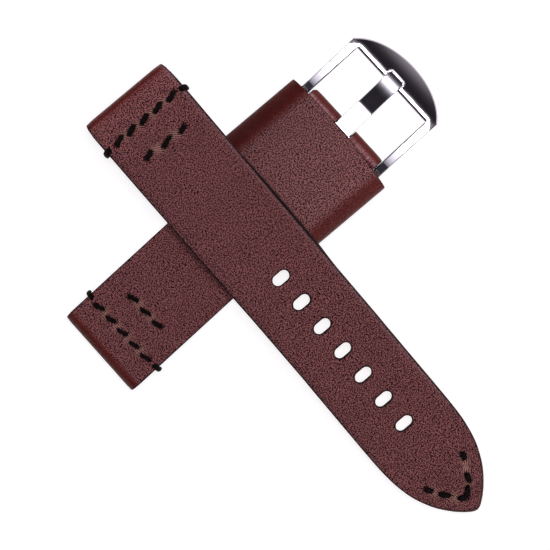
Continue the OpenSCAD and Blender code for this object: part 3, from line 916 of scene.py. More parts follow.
def short_outline():
    qs = np.arange(SHORT_Q0, SHORT_Q1, 0.4)
    qs = np.concatenate([qs, [SHORT_Q1]])
    ys, _ = short_path.at(qs, np.zeros_like(qs))
    hw = np.interp(ys, _hw_y, _hw_x)
    side = list(zip(qs, hw))
    # the other side stays full at the bar, up to the knuckle
    full = np.where(ys > 68, np.interp(ys, [68, 70, 74.9, 75.1], [11.05, 10.94, 10.94, 10.85]), hw)
    return resample(list(zip(qs, full)) + [(q, -w) for q, w in reversed(side)], 0.45)


def rounded_rect(q0, q1, x0, x1, r, step=0.3):
    pts = []
    for cx, cy, a0 in ((q1 - r, x1 - r, 0), (q0 + r, x1 - r, 90), (q0 + r, x0 + r, 180), (q1 - r, x0 + r, 270)):
        pts += [tuple(p) for p in arc_pts(cx, cy, r, a0, a0 + 90, 5)]
    return resample(pts, step)


slot_q0 = 70.7
slot_q1 = SHORT_BAR_END + 2.3


def short_thick(q, x):
    return np.interp(q, [SHORT_ARC0 - 2, SHORT_ARC0, FOLD_R, 4.4, 63.5, 72.8, SHORT_BAR_END, SHORT_BAR_END + 3],
                     [1.48, 1.44, 1.44, 1.77, 1.77, 1.14, 1.14, 1.46])


def short_fold(q, x):
    return 0.2 * bump_fn(q, 1.2, 1.6) + 1.0 * bump_fn(q, 72.9, 0.9)


def short_fold_plain(q, x):
    """Where the plain fold colour goes in: over the bar fold, none at the lug end."""
    return np.clip((q - 71.4) / 1.4, 0, 1)


def short_shade(q, x):
    # painted shade on the lug end's fold, and painted light on the crest of the bar fold
    return 0.42 * smooth_step((1.9 - q) / 1.2) - 0.3 * bump_fn(q, 73.3, 0.7)


def short_painted_highlight(q, x):
    """Painted highlight along the crest of the bar fold, in streaks with its creases, a little stronger on one side."""
    return (0.75 + 0.12 * np.clip(-x / 4.0, -1, 1)) * bump_fn(q, 73.15, 0.52)


short_top = sheet("short_strap_top", short_outline(),
                  [rounded_rect(slot_q0, slot_q1, -2.38, 2.12, 0.2)],
                  short_path, place_short, short_thick, edge_r=0.3, hole_r=0.22,
                  near=near_rows(short_rows), relief=stitch_relief(short_rows),
                  paint=dent_paint(short_rows + short_hidden, short_fold, short_fold_plain, short_shade, short_painted_highlight,
                                   lambda q, x: smooth_step((2.5 - q) / 1.3)),
                  crown=0.12, crown_w=2.0)
dress(short_top, leather_short, "top_leather", "short_piece", "short_top_leather")


def lining_outline_short():
    return resample([(-57.9, -11.05), (-57.9, 11.05), (-15.6, 11.05), (-15.6, -11.05)], 0.6)


def short_lin_thick(q, x):
    t = np.clip((np.abs(x) - 8.05) / 0.15, 0, 1)
    return 1.28 + 0.3 * t


short_lin = sheet("short_strap_lining", lining_outline_short(), [], short_under,
                  lambda a, b, c: place_short(a, b, c), short_lin_thick, edge_r=0.3, step=0.9, wall_rows=4)
dress(short_lin, leather_lining, "lining_leather", "short_piece", "short_lining")


# -------------------------------------------------------------- long leather

def long_outline(q0, sign=1):
    qs = np.arange(q0, 101.0, 0.45)
    if sign > 0:
        ys, _ = long_path.at(qs, np.zeros_like(qs))
    else:
        ys = qs
    side = list(zip(qs, long_half(ys))) + long_tip()
    full = side + [(q, -w) for q, w in reversed(side[:-1])]
    if sign < 0:
        full = [(-q, w) for q, w in full]
    return resample(full, 0.45)


def stadium(u, sign=1):
    r, half = 1.25, 2.1
    pts = []
    for cx, cy, a0 in ((u, half - r, 0), (u, -half + r, 180)):
        pts += [tuple(p) for p in arc_pts(cx, cy, r, a0, a0 + 180, 15)]
    if sign < 0:
        pts = [(-p[0], p[1]) for p in pts]
    return resample(pts, 0.3)


def long_thick(q, x):
    return np.interp(q, [LONG_ARC0 - 2, LONG_ARC0, FOLD_R, 4.4], [1.48, 1.44, 1.44, 1.78])


all_long = long_rows + long_second + tip_rows


def hole_relief(rows):
    base = stitch_relief(rows)

    def relief(q, x):
        d = base(q, x)
        for u in HOLES_U:
            r = np.hypot(q - u, np.maximum(np.abs(x) - 0.9, 0)) - 1.3
            d += 0.09 * np.exp(-(np.maximum(r, 0) / 0.45) ** 2)
        return d
    return relief


def long_fold_plain(q, x):
    return 0.3 * bump_fn(q, 1.8, 0.7)


def long_shade(q, x):
    """Painted shade at the very end and along one edge, and painted light a little behind the fold."""
    edge = long_half(q) + x
    out = np.interp(q, [0.7, 1.15, 1.45, 2.6, 5.0, 9.0, 14.0], [0.2, 0.08, -0.2, -0.3, -0.22, -0.12, 0.0])
    tip = np.clip((104.0 - q) / 4.0, 0, 1)
    return out + tip * (0.2 * smooth_step((1.2 - edge) / 0.7) + 0.07 * smooth_step((3.6 - edge) / 2.6))


def long_painted_highlight(q, x):
    """Painted highlight in a line just inside the other edge."""
    edge = long_half(q) - x
    return 0.24 * bump_fn(edge, 0.66, 0.34) * np.clip((104.0 - q) / 6.0, 0, 1)


def long_shadow_flare(q, x):
    """How far the cut edge slopes out, most where it lies over the keeper, where its widened dark edge is a painted
    shadow on the keeper.
    """
    over = smooth_step((q - 24.0) / 14.0) * smooth_step((60.5 - q) / 8.0)
    return np.where(x > 0, 0.1 + 0.3 * over, -0.05) * np.clip((q - 3.0) / 2.0, 0, 1) * np.clip((112.0 - q) / 8.0, 0, 1)


long_top = sheet("long_strap_top", long_outline(LONG_Q0), [stadium(u) for u in HOLES_U],
                 long_path, place_long, long_thick, edge_r=0.34, hole_r=0.2,
                 near=near_rows(all_long), relief=hole_relief(all_long),
                 paint=dent_paint(all_long, lambda q, x: 0.2 * bump_fn(q, 1.2, 1.6), long_fold_plain, long_shade, long_painted_highlight,
                                  lambda q, x: smooth_step((1.5 - q) / 0.4)),
                 crown=0.17, crown_w=2.6, flare=long_shadow_flare)
dress(long_top, leather_long, "top_leather", "long_piece", "long_top_leather")


def long_lin_thick(q, x):
    t = np.clip((np.abs(x) - 8.05) / 0.15, 0, 1)
    t = np.maximum(t, np.clip((-q - 103.0) / 0.2, 0, 1))
    return 1.28 + 0.3 * t


long_lin = sheet("long_strap_lining", long_outline(15.6, -1), [stadium(u, -1) for u in HOLES_U],
                 long_under, place_long, long_lin_thick, edge_r=0.3, hole_r=0.2, step=0.9, wall_rows=4)
dress(long_lin, leather_lining, "lining_leather", "long_piece", "long_lining")


# -------------------------------------------------------------------- keeper

KW, KH, KR, KT = 31.5, 7.2, 3.05, 1.35


def keeper_path():
    h, w, r = KH, KW / 2, KR
    gap = 0.05
    pts = [(-gap, 0.0), (-w + r, 0.0)]
    pts = dense(pts)
    pts = [tuple(p) for p in pts[:-1]]
    # the shoulders of the upper wall fall away over a wider stretch
    sh, shr = 6.6, 5.4
    arc_t = np.radians(np.linspace(0, 90, 90))
    pts += [tuple(p) for p in arc_pts(-w + r, r, r, 270, 180, 60)]
    pts += [(-w + sh - sh * math.cos(a), h - r + r * math.sin(a)) for a in arc_t]
    pts += [tuple(p) for p in dense([(-w + sh, h), (w - shr, h)])[1:-1]]
    pts += [(w - shr + shr * math.cos(a), h - r + r * math.sin(a)) for a in arc_t[::-1]]
    pts += [tuple(p) for p in arc_pts(w - r, r, r, 0, -90, 60)]
    pts += [tuple(p) for p in dense([(w - r, 0.0), (gap, 0.0)])[1:]]
    pts = np.array(pts)
    return Path(pts, arc_length(pts), smooth=0.35)


kpath = keeper_path()
KQ = kpath.q[-1]


def keeper_outline():
    qs = np.linspace(0, KQ, 170)
    x, z = kpath.at(qs, np.zeros_like(qs))
    # the buckle's end bows out in the middle of the upper wall
    front = -0.72 * (x / 15.7) ** 2 - 0.15 * (1 - np.clip(z / 6.0, 0, 1))
    rear = -21.43 + 0.08 * np.cos(x / 5.0)
    a = list(zip(qs, front))
    b = list(zip(qs, rear))
    return resample(a + b[::-1], 0.45)


def keeper_relief(q, x):
    kx, kz = kpath.at(q, np.zeros_like(q))
    top = np.clip((kz - 6.5) / 0.6, 0, 1)
    # the upper wall lies a touch hollow between its two shoulders
    return top * 0.1 * np.exp(-(np.abs(kx) / 11.5) ** 4)


def keeper_paint(q, x):
    kx, kz = kpath.at(q, np.zeros_like(q))
    fold = 0.15 * np.clip((np.abs(kx) - 12.0) / 2.0, 0, 1)
    # painted shade on both shoulders, most on the left, painted light towards the buckle's end and painted shade
    # towards the other; the plain shaded colour goes on both shoulders
    return {"dent": np.zeros_like(q), "fold": fold, "crease_x": x / 0.42, "crease_y": q / 3.0,
            "shade": np.interp(kx, [-15.8, -15.05, -14.6, -14.2, -13.3, -12.8, -12.4, -11.95, -11.5, -11.05, -10.6, -9.0, -5.0, 0.0,
                                    10.5, 11.3, 11.7, 12.1, 12.6, 13.0, 13.5, 14.0, 15.8],
                               [0.42, 0.455, 0.49, 0.52, 0.52, 0.46, 0.42, 0.36, 0.28, 0.23, 0.18, 0.12, 0.03, 0.0,
                                -0.03, -0.02, 0.0, 0.02, 0.1, 0.14, 0.16, 0.18, 0.2])
            - 0.06 * np.clip((x + 9.0) / 9.0, -1, 1),
            "bare": np.clip((-kx - 10.2) / 2.2, 0, 1) + 0.75 * np.clip((kx - 11.3) / 1.9, 0, 1)}


keeper = sheet("keeper_band", keeper_outline(), [], kpath, place_keeper,
               lambda q, x: np.full_like(q, KT), edge_r=0.24, low_r=0.1, step=0.5,
               relief=keeper_relief, paint=keeper_paint, crown=0.05, crown_w=0.8, rim_w=0.2)
dress(keeper, leather_keeper, "keeper_leather", "keeper", "keeper_loop")


# ------------------------------------------------------------------- threads

class Tubes:
    """Round strands gathered into one mesh."""

    def __init__(self, seed):
        self.v, self.f = [], []
        self.n = 0
        self.rnd = random.Random(seed)

    def tube(self, pts, radius, sides=8):
        pts = np.asarray(pts)
        m = len(pts)
        tan = np.gradient(pts, axis=0)
        tan /= np.linalg.norm(tan, axis=1)[:, None] + 1e-15
        ref = np.array([0.0, 0.0, 1.0])
        if abs(tan[0] @ ref) > 0.9:
            ref = np.array([1.0, 0.0, 0.0])
        u = np.cross(tan[0], ref)
        u /= np.linalg.norm(u)
        radius = np.broadcast_to(radius, (m,))
        ring = []
        for i in range(m):
            u = u - tan[i] * (u @ tan[i])
            u /= np.linalg.norm(u)
            w = np.cross(tan[i], u)
            a = np.linspace(0, 2 * math.pi, sides, endpoint=False)
            ring.append(pts[i] + radius[i] * (np.cos(a)[:, None] * u + np.sin(a)[:, None] * w))
        k = self.n
        self.v.append(np.concatenate(ring))
        for i in range(m - 1):
            for j in range(sides):
                a, b = k + i * sides + j, k + i * sides + (j + 1) % sides
                self.f.append((a, b, b + sides, a + sides))
        self.f.append(tuple(k + j for j in range(sides))[::-1])
        self.f.append(tuple(k + (m - 1) * sides + j for j in range(sides)))
        self.n += m * sides

    def bundle(self, axis, side, up, wide, high, strands, r, twist, spread=None):
        """Strands wound about an axis: side and up are unit vectors at each point."""
        m = len(axis)
        t = np.linspace(0, 1, m)
        if spread is None:
            spread = np.ones(m)
        for i in range(strands):
            ph = 2 * math.pi * i / strands + self.rnd.uniform(-0.25, 0.25)
            wob = self.rnd.uniform(-0.4, 0.4)
            a = ph + twist * t * 2 * math.pi + wob * np.sin(t * 5 + ph)
            jit = 1 + 0.12 * np.sin(t * 9 + ph * 3)
            p = axis + side * (np.cos(a) * wide * spread * jit)[:, None] + up * (np.sin(a) * high * spread * jit)[:, None]
            self.tube(p, r * (1 + 0.1 * np.sin(t * 13 + ph)))

    def make(self, name):
        return new_object(name, np.concatenate(self.v), self.f)


def surface_frame(path, place, q, x, h):
    """Point h above the outer face at (q, x), with the face's own axes."""
    q, x, h = np.broadcast_arrays(np.asarray(q, float), np.asarray(x, float), np.asarray(h, float))
    a, b = path.at(q, -h)
    p = place(a, b, x)
    a1, b1 = path.at(q, -h - 0.5)
    up = place(a1, b1, x) - p
    up /= np.linalg.norm(up, axis=1)[:, None]
    return p, up


def add_stitch(t, path, place, a, b, wide=0.42, high=0.24, strands=7, r=0.15, twist=1.7, rise=0.26, hairs=22,
               row=None):
    a, b = np.array(a), np.array(b)
    ahead = np.array(row if row is not None else (0.0, 1.0 if b[1] > a[1] else -1.0))
    n = 34
    s = np.linspace(-1, 1, n)
    # the ends turn down into their holes
    flat = np.sign(s) * np.minimum(np.abs(s) * 1.08, 1.0)
    mid = (a + b) / 2
    half = (b - a) / 2
    q = mid[0] + half[0] * flat
    x = mid[1] + half[1] * flat
    h = rise * (1 - np.abs(s) ** 3.2) - 1.15 * np.clip((np.abs(s) - 0.72) / 0.28, 0, 1) ** 1.6
    axis, up = surface_frame(path, place, q, x, h)
    tan = np.gradient(axis, axis=0)
    tan /= np.linalg.norm(tan, axis=1)[:, None]
    # the stitch is straight seen from above, also where its ends go straight down
    chord = (axis[-1] - axis[0]) / np.linalg.norm(axis[-1] - axis[0])
    side = np.cross(np.broadcast_to(chord, up.shape), up)
    side /= np.linalg.norm(side, axis=1)[:, None]
    upn = np.cross(side, tan)
    lump = 1 + 0.2 * np.sin(s * t.rnd.uniform(2.0, 4.0) + t.rnd.uniform(0, 6))
    lump = lump * (1 + 0.1 * np.sin(s * t.rnd.uniform(7.0, 10.0) + t.rnd.uniform(0, 6)))
    spread = (0.55 + 0.45 * (1 - np.abs(s) ** 2.2)) * lump
    t.bundle(axis, side, upn, wide * 0.95 * MM, high * MM, 3, r * 1.8 * MM, twist, spread)
    # broken plies and loose fibres, most of them drawn towards the next stitch
    c0, _ = surface_frame(path, place, [mid[0], mid[0] + ahead[0] * 0.5], [mid[1], mid[1] + ahead[1] * 0.5], [0, 0])
    along = (c0[1] - c0[0]) / np.linalg.norm(c0[1] - c0[0])
    for i in range(hairs):
        end = 1 if i % 2 else -1
        s0 = end * t.rnd.uniform(0.1, 0.95)
        k = int((s0 + 1) / 2 * (n - 1))
        swing = t.rnd.uniform(-0.3, 1.5) * (1 if t.rnd.random() < 0.5 else -1)
        direction = (along + np.cross(upn[k], along) * swing) * end
        sign = 1 if direction @ side[k] > 0 else -1
        direction /= np.linalg.norm(direction)
        reach = t.rnd.uniform(0.45, 0.8) + (0.3 if i % 5 == 0 else 0.0)
        thick = t.rnd.uniform(0.08, 0.15)
        p0 = axis[k] + side[k] * sign * wide * spread[k] * 0.6 * MM + upn[k] * 0.1 * MM
        bend = t.rnd.uniform(-0.3, 0.3)
        drop = -max(h[k] - 0.13, 0.0)
        pts = [p0 + (direction * f + side[k] * bend * f * f) * reach * MM
               + upn[k] * (0.06 + (drop - 0.06) * f) * MM for f in np.linspace(0, 1, 6)]
        t.tube(pts, np.array([1.0, 1.0, 0.9, 0.75, 0.55, 0.3]) * thick * MM, sides=5)


def add_wrap(t, path, place, q0, side_sign, hole, edge, under, wide=0.36, r=0.17, strands=6, shift=0.45):
    """Thread from the last hole over the edge to the underside and back up."""
    pts2 = [(hole, -0.9), (hole + 0.1, -0.1), (hole + 0.4, 0.34), (edge - 0.3, 0.42), (edge + 0.2, 0.22),
            (edge + 0.47, -0.7), (edge + 0.47, -2.4), (edge + 0.2, -3.3), (edge - 0.4, -3.62),
            (hole + 0.6, -3.6), (hole, -3.2)]
    pts2 = np.array(pts2)
    # a smooth curve through them
    s = arc_length(pts2)
    fine = np.linspace(0, s[-1], 60)
    px = np.interp(fine, s, pts2[:, 0])
    ph = np.interp(fine, s, pts2[:, 1])
    k = np.ones(7) / 7
    px[3:-3] = np.convolve(px, k, mode="valid")
    ph[3:-3] = np.convolve(ph, k, mode="valid")
    qq = q0 + shift * np.sin(np.linspace(0, math.pi, 60))
    axis, up = surface_frame(path, place, qq, side_sign * px, ph)
    tan = np.gradient(axis, axis=0)
    tan /= np.linalg.norm(tan, axis=1)[:, None]
    a0, _ = path.at(np.array([q0, q0 + 0.5]), np.zeros(2))
    e0, _ = surface_frame(path, place, [q0, q0 + 0.5], [0, 0], [0, 0])
    across = (e0[1] - e0[0]) / np.linalg.norm(e0[1] - e0[0])
    side = np.broadcast_to(across, tan.shape)
    side = side - tan * (side * tan).sum(axis=1)[:, None]
    side /= np.linalg.norm(side, axis=1)[:, None]
    upn = np.cross(side, tan)
    t.bundle(axis, side, upn, wide * MM, 0.22 * MM, strands, r * MM, 3.2)
    for i in range(14):
        k = t.rnd.randint(8, 26)
        sign = 1 if t.rnd.random() < 0.5 else -1
        reach = t.rnd.uniform(0.25, 0.5)
        direction = side[k] * sign + tan[k] * t.rnd.uniform(-1, 1)
        direction /= np.linalg.norm(direction)
        p0 = axis[k] + side[k] * sign * wide * 0.8 * MM
        pts = [p0 + direction * f * reach * MM - upn[k] * 0.1 * f * f * MM for f in np.linspace(0, 1, 4)]
        t.tube(pts, np.array([1.0, 0.9, 0.7, 0.3]) * 0.055 * MM, sides=5)


t = Tubes(11)
for a, b in short_rows[:5]:
    add_stitch(t, short_path, place_short, a, b, wide=0.3, high=0.2, r=0.13, hairs=16)
for sg in (-1, 1):
    add_wrap(t, short_path, place_short, 7.0, sg, 9.95, 11.05, 0, wide=0.42, r=0.2)
dress(t.make("short_lug_thread"), thread_mat, "thread", "short_piece", "short_lug_stitches")

t = Tubes(12)
for a, b in short_rows[5:]:
    add_stitch(t, short_path, place_short, a, b, wide=0.33, high=0.21, r=0.13, hairs=18)
dress(t.make("short_second_thread"), thread_mat, "thread", "short_piece", "short_second_stitches")

t = Tubes(13)
for a, b in short_hidden:
    add_stitch(t, short_path, place_short, a, b, wide=0.33, high=0.2, r=0.15, hairs=0, rise=0.2)
dress(t.make("short_buckle_thread"), thread_mat, "thread", "short_piece", "short_buckle_stitches")

t = Tubes(14)
for a, b in long_rows:
    add_stitch(t, long_path, place_long, a, b, wide=0.42, high=0.25, r=0.155)
for sg in (-1, 1):
    add_wrap(t, long_path, place_long, 7.5, sg, 10.15, 11.13, 0, wide=0.5, r=0.22)
dress(t.make("long_lug_thread"), thread_mat, "thread", "long_piece", "long_lug_stitches")

t = Tubes(15)
for a, b in long_second:
    add_stitch(t, long_path, place_long, a, b, wide=0.38, high=0.24, r=0.145)
dress(t.make("long_second_thread"), thread_mat, "thread", "long_piece", "long_second_stitches")

t = Tubes(16)
for a, b in tip_rows:
    add_stitch(t, long_path, place_long, a, b, wide=0.44, high=0.25, r=0.155,
               row=np.array([b[0] - a[0], b[1] - a[1]]) / math.hypot(b[0] - a[0], b[1] - a[1]))
dress(t.make("long_tip_thread"), thread_mat, "thread", "long_piece", "long_tip_stitches")


# -------------------------------------------------------------------- buckle

def front_x(y):
    b, c = 9.57, 21.04 - 9.57
    return 14.8 * np.sqrt(np.maximum(0, 1 - ((y - c) / b) ** 2))


OUT = 13.25
WIN = 11.15
BAND_Y = 16.2
WIN_Y = 14.7


def buckle_outline():
    side = [(OUT, y) for y in np.arange(-1.8, 14.3, 0.35)]
    for a in np.radians(np.linspace(0, 90, 60)):
        y = 14.3 + (21.04 - 14.3) * math.sin(a)
        side.append((min(OUT, float(front_x(np.array(y)))), y))
    full = side + [(-x, y) for x, y in reversed(side[:-1])]
    # the crescent stands a little further out towards one side
    full = [(x, y + (0.41 + 0.025 * x) * float(np.clip((y - 14.3) / 1.0, 0, 1))) for x, y in full]
    # the open back: inner side of each arm
    full += [(-WIN, -1.8), (-WIN, 1.7), (-WIN, WIN_Y), (WIN, WIN_Y), (WIN, 1.7), (WIN, -1.8)]
    return full


BAND_R = 3.0
LEDGE = (-0.34, 2.52, 17.38, 1.1)     # rounded rim round the tongue's notch
NOTCH = (-2.56, 1.9, 17.1, 0.85)


def rounded_distance(x, y, cx, half, top, r):
    qx = np.abs(x - cx) - (half - r)
    qy = y - (top - r)
    return np.hypot(np.maximum(qx, 0), np.maximum(qy, 0)) + np.minimum(np.maximum(qx, qy), 0) - r


def band_distance(x, y):
    """Positive outside the polished band, measured from its edge."""
    main = rounded_distance(x, y, 0.0, OUT, BAND_Y, BAND_R)
    ledge = rounded_distance(x, y, *LEDGE)
    return np.minimum(main, ledge)


def notch_distance(x, y):
    """Negative inside the notch."""
    lo, hi, top, r = NOTCH
    return rounded_distance(x, y, (lo + hi) / 2, (hi - lo) / 2, top, r)


def buckle_top(x, y):
    # each arm rises towards its knuckle, which is lower and has a facet of its own
    arm = 1.2 + 0.62 * np.exp(-(np.maximum(y, 1.7) - 1.7) / 4.6) * np.clip((13.0 - y) / 5.0, 0, 1)
    arm = np.where(y < 1.7, 1.82 - (1.7 - y) * 0.29, arm)
    back = np.sqrt(np.maximum(1.8 ** 2 - y ** 2, 0))
    arm = np.where(y < -1.2, np.minimum(arm, back), arm)
    crescent = -12.68 + np.sqrt(np.maximum(14.0 ** 2 - (y - 14.0) ** 2, 0)) - x * x / 330.0
    bd = band_distance(x, y)
    t = smooth_step((bd + 0.02) / 0.1)
    main = rounded_distance(x, y, 0.0, OUT, BAND_Y, BAND_R)
    level = smooth_step((main - rounded_distance(x, y, *LEDGE)) / 0.3)
    band = arm - 0.05 * (1 - 0.6 * level) * smooth_step((bd + 0.22) / 0.22)
    z = band * (1 - t) + np.minimum(crescent, arm) * t
    n_in = smooth_step((-notch_distance(x, y) + 0.03) / 0.09)
    floor_z = np.minimum(z, 0.1 + 0.36 * (y - 15.2))
    return z * (1 - n_in) + floor_z * n_in


def buckle_low(x, y):
    low = np.full_like(x, -1.5)
    kn = -np.sqrt(np.maximum(1.8 ** 2 - y ** 2, 0))
    return np.where(y < 0.9, np.where(y < 0, kn, np.minimum(kn, -1.5)), low)


def contour(cx, half, top, r, d, low):
    """Points d outside a rounded outline, from one side round to the other."""
    pts = []
    for y in np.arange(low, top - r, 0.22):
        pts += [(cx - half - d, y), (cx + half + d, y)]
    n = max(5, int((r + d) * 1.6 / 0.16))
    for a in np.radians(np.linspace(0, 90, n)):
        for sgn in (1, -1):
            pts.append((cx + sgn * (half - r + (r + d) * math.cos(a)), top - r + (r + d) * math.sin(a)))
    for x in np.arange(-half + r + 0.2, half - r, 0.22):
        pts.append((cx + x, top + d))
    return pts


def build_buckle():
    outer = resample(buckle_outline(), 0.3)
    if area(outer) < 0:
        outer = outer[::-1]
    er = 0.3
    rings = [offset_loop(outer, d) for d in (0.012, 0.04, 0.09, 0.15, 0.22, 0.275, 0.3, 0.34)]
    pts = hex_grid(-13.3, 13.3, -1.9, 21.1, 0.3)
    # rows along the band's edge, the ledge and the notch
    extra = []
    for d in (-0.24, -0.15, -0.07, -0.02, 0.02, 0.06, 0.11, 0.2):
        extra += contour(0.0, OUT, BAND_Y, BAND_R, d, 14.0)
        extra += contour(*LEDGE, d, 15.9)
    lo, hi, top, r = NOTCH
    for d in (-0.1, -0.06, -0.01, 0.03, 0.09):
        extra += contour((lo + hi) / 2, (hi - lo) / 2, top, r, d, 15.25)
    for sgn in (1, -1):
        for x in np.arange(WIN + 0.36, OUT - 0.34, 0.22):
            for y in (-1.7, -1.6, -1.45, -1.2, 1.4, 1.7, 2.0):
                extra.append((sgn * x, y))
    for x in np.arange(-WIN + 0.1, WIN, 0.22):
        for y in (0.41, 0.5, 0.6, 0.7, 0.8, 0.88):
            extra.append((x, WIN_Y + y))
    extra = np.array(extra)
    # the coarse grid stays clear of the extra rows
    near = np.abs(band_distance(pts[:, 0], pts[:, 1])) < 0.3
    near |= np.abs(notch_distance(pts[:, 0], pts[:, 1])) < 0.2
    near |= np.abs(pts[:, 1] - 1.7) < 0.24
    pts = pts[~near]
    allp = np.concatenate([pts, extra])
    allp = allp[inside(allp, outer)]
    allp = allp[loop_distance(allp, outer) > 0.39]
    verts, tris, loops = triangulate(outer, [], rings, allp)
    x, y = verts[:, 0], verts[:, 1]
    d = loop_distance(verts, outer)
    cut = np.clip(er - d, 0, er) * 0.66
    zt = buckle_top(x, y) - cut
    zb = buckle_low(x, y) + cut * 0.6
    # the window's front edge is rounded over
    fy = np.hypot(np.maximum(np.abs(x) - WIN, 0), np.maximum(y - WIN_Y, 0))
    fr = 0.8
    over = np.clip(fr - fy, 0, fr)
    rolled = 1.2 - (fr - np.sqrt(np.maximum(fr * fr - over * over, 0)))
    front = (np.abs(x) < WIN + 0.2) & (y > WIN_Y - 0.01) & (fy < fr)
    inner = (np.abs(x) < WIN + 0.01) & (y > 13.5) & (y < 15.4)
    zt = np.where(inner, buckle_top(x, y), zt)
    zt = np.where(front, np.minimum(zt, rolled), zt)
    end = y < -1.79
    zt = np.where(end, 0.05, zt)
    zb = np.where(end, -0.05, zb)
    n = len(verts)
    X, Y, Z = [x, x], [y, y], [zt, zb]
    faces = [tuple(f) for f in tris] + [tuple(f[::-1] + n) for f in tris]
    total = 2 * n
    for loop in loops:
        loop = np.array(loop)
        prev = loop
        rows = 4
        for k in range(1, rows + 1):
            if k == rows:
                cur = loop + n
            else:
                s = k / rows
                X.append(x[loop])
                Y.append(y[loop])
                Z.append(zt[loop] * (1 - s) + zb[loop] * s)
                cur = np.arange(total, total + len(loop))
                total += len(loop)
            a, b = np.roll(prev, -1), np.roll(cur, -1)
            faces += [tuple(f) for f in np.stack([prev, cur, b, a], axis=-1)]
            prev = cur
    X, Y, Z = np.concatenate(X), np.concatenate(Y), np.concatenate(Z)
    obj = new_object("buckle_body", place_frame(X, Y, Z), faces)
    dress(obj, polished, "buckle_steel", "buckle", "buckle_frame")
    obj.data.materials.append(brushed)
    cx = np.array([X[list(p.vertices)].mean() for p in obj.data.polygons])
    cy = np.array([Y[list(p.vertices)].mean() for p in obj.data.polygons])
    rough_part = (band_distance(cx, cy) > 0.06) & (notch_distance(cx, cy) > 0.02)
    obj.data.polygons.foreach_set("material_index", rough_part.astype(np.int32))
    obj.data.set_sharp_from_angle(angle=math.radians(13))
    # the rim round the notch is rounded, without hard creases
    soft = (np.abs(rounded_distance(X, Y, *LEDGE)) < 0.3) & (Y > 15.4)
    soft |= (np.abs(notch_distance(X, Y)) < 0.16) & (Y > 15.3)
    soft &= np.arange(len(X)) < n
    ends = np.zeros(2 * len(obj.data.edges), dtype=np.int32)
    obj.data.edges.foreach_get("vertices", ends)
    ends = ends.reshape(-1, 2)
    marks = obj.data.attributes.get("sharp_edge")
    if marks is not None:
        hard = np.zeros(len(obj.data.edges), dtype=bool)
        marks.data.foreach_get("value", hard)
        hard &= ~(soft[ends[:, 0]] & soft[ends[:, 1]])
        marks.data.foreach_set("value", hard)
    return obj


buckle = build_buckle()


# -------------------------------------------------------------------- tongue

def tongue_path():
    # slope of the upper face, in degrees, at each distance from the bar
    where = [0, 5.85, 7.4, 11.5, 12.0, 13.3, 13.9, 14.5, 14.9, 15.4, 15.75, 16.2, 16.9, 16.98, 17.05]
    angle = [3.2, 3.2, -16.0, -16.0, -14.6, -12.4, -10.0, -4.0, -4.0, -10.5, -12.6, -13.8, -15.2, -60.0, -80.0]
    y = np.linspace(0, 17.05, 1200)
    k = np.exp(-0.5 * (np.arange(-40, 41) * (17.05 / 1199) / 0.16) ** 2)
    a = np.interp(y, where, angle)
    pad = np.concatenate([np.full(40, a[0]), a, np.full(40, a[-1])])
    a = np.where(y < 16.6, np.convolve(pad, k / k.sum(), mode="valid"), a)
    z = 1.6 + np.concatenate([[0], np.cumsum(np.tan(np.radians(a[:-1])) * np.diff(y))])
    top = np.stack([y, z], axis=-1)[::-1]
    low = top[top[:, 1] > -0.95]
    top = np.concatenate([[(low[0, 0] + 0.005, low[0, 1] - 0.03)], low])
    arc = arc_pts(0, 0, 1.6, 90, 372, 200)
    pts = np.concatenate([dense([tuple(p) for p in top])[:-1], arc])
    # the strip runs back over the bar, so its outer side is on the left of
    # the direction of travel only when it is walked the other way round
    pts = pts[::-1]
    return Path(pts, arc_length(pts), smooth=0.1, step=0.02)


tpath = tongue_path()
TQ = tpath.q[-1]


def tongue_thick(q, x):
    ay, _ = tpath.at(q, np.zeros_like(q))
    curl = TQ - q > 19.0
    th = np.interp(ay, [0, 1.0, 3.5, 7.3, 14.2, 15.3, 16.3, 16.9, 17.1], [0.64, 0.7, 0.9, 1.03, 1.0, 0.95, 0.75, 0.4, 0.2])
    return np.where(curl, 0.63, th)


def tongue_outline():
    qs = np.concatenate([np.arange(0.0, TQ - 1.0, 0.3), np.linspace(TQ - 1.0, TQ, 14)])
    left = TQ - qs
    corner = np.clip(1 - left / 0.75, 0, 1)
    hw = 2.1 - 0.75 * (1 - np.sqrt(1 - corner ** 2))
    side = list(zip(qs, hw))
    return resample(side + [(q, -w) for q, w in reversed(side)], 0.3)


tongue = sheet("tongue_strip", tongue_outline(), [], tpath, place_tongue, tongue_thick,
               edge_r=0.15, low_r=0.06, step=0.28, wall_rows=4, chamfer=0.8)
dress(tongue, tongue_steel, "tongue_steel", "tongue", "buckle_tongue")


# ------------------------------------------------------- solids that stay

def finish_node(name, mat):
    obj = frame["nodes"][name] if isinstance(frame["nodes"], dict) else bpy.data.objects[name]
    if isinstance(obj, str):
        obj = bpy.data.objects[obj]
    if obj.material_slots:
        for s in obj.material_slots:
            s.material = mat
    else:
        obj.data.materials.append(mat)


for n in ("bar_tube", "bar_pin_left", "bar_pin_right", "bar_spring"):
    finish_node(n, bar_steel)
for n in ("short_tape", "long_tape"):
    finish_node(n, tape_mat)
finish_node("keeper_stitches", thread_mat)


# ---------------------------------------------------------- floor and lights

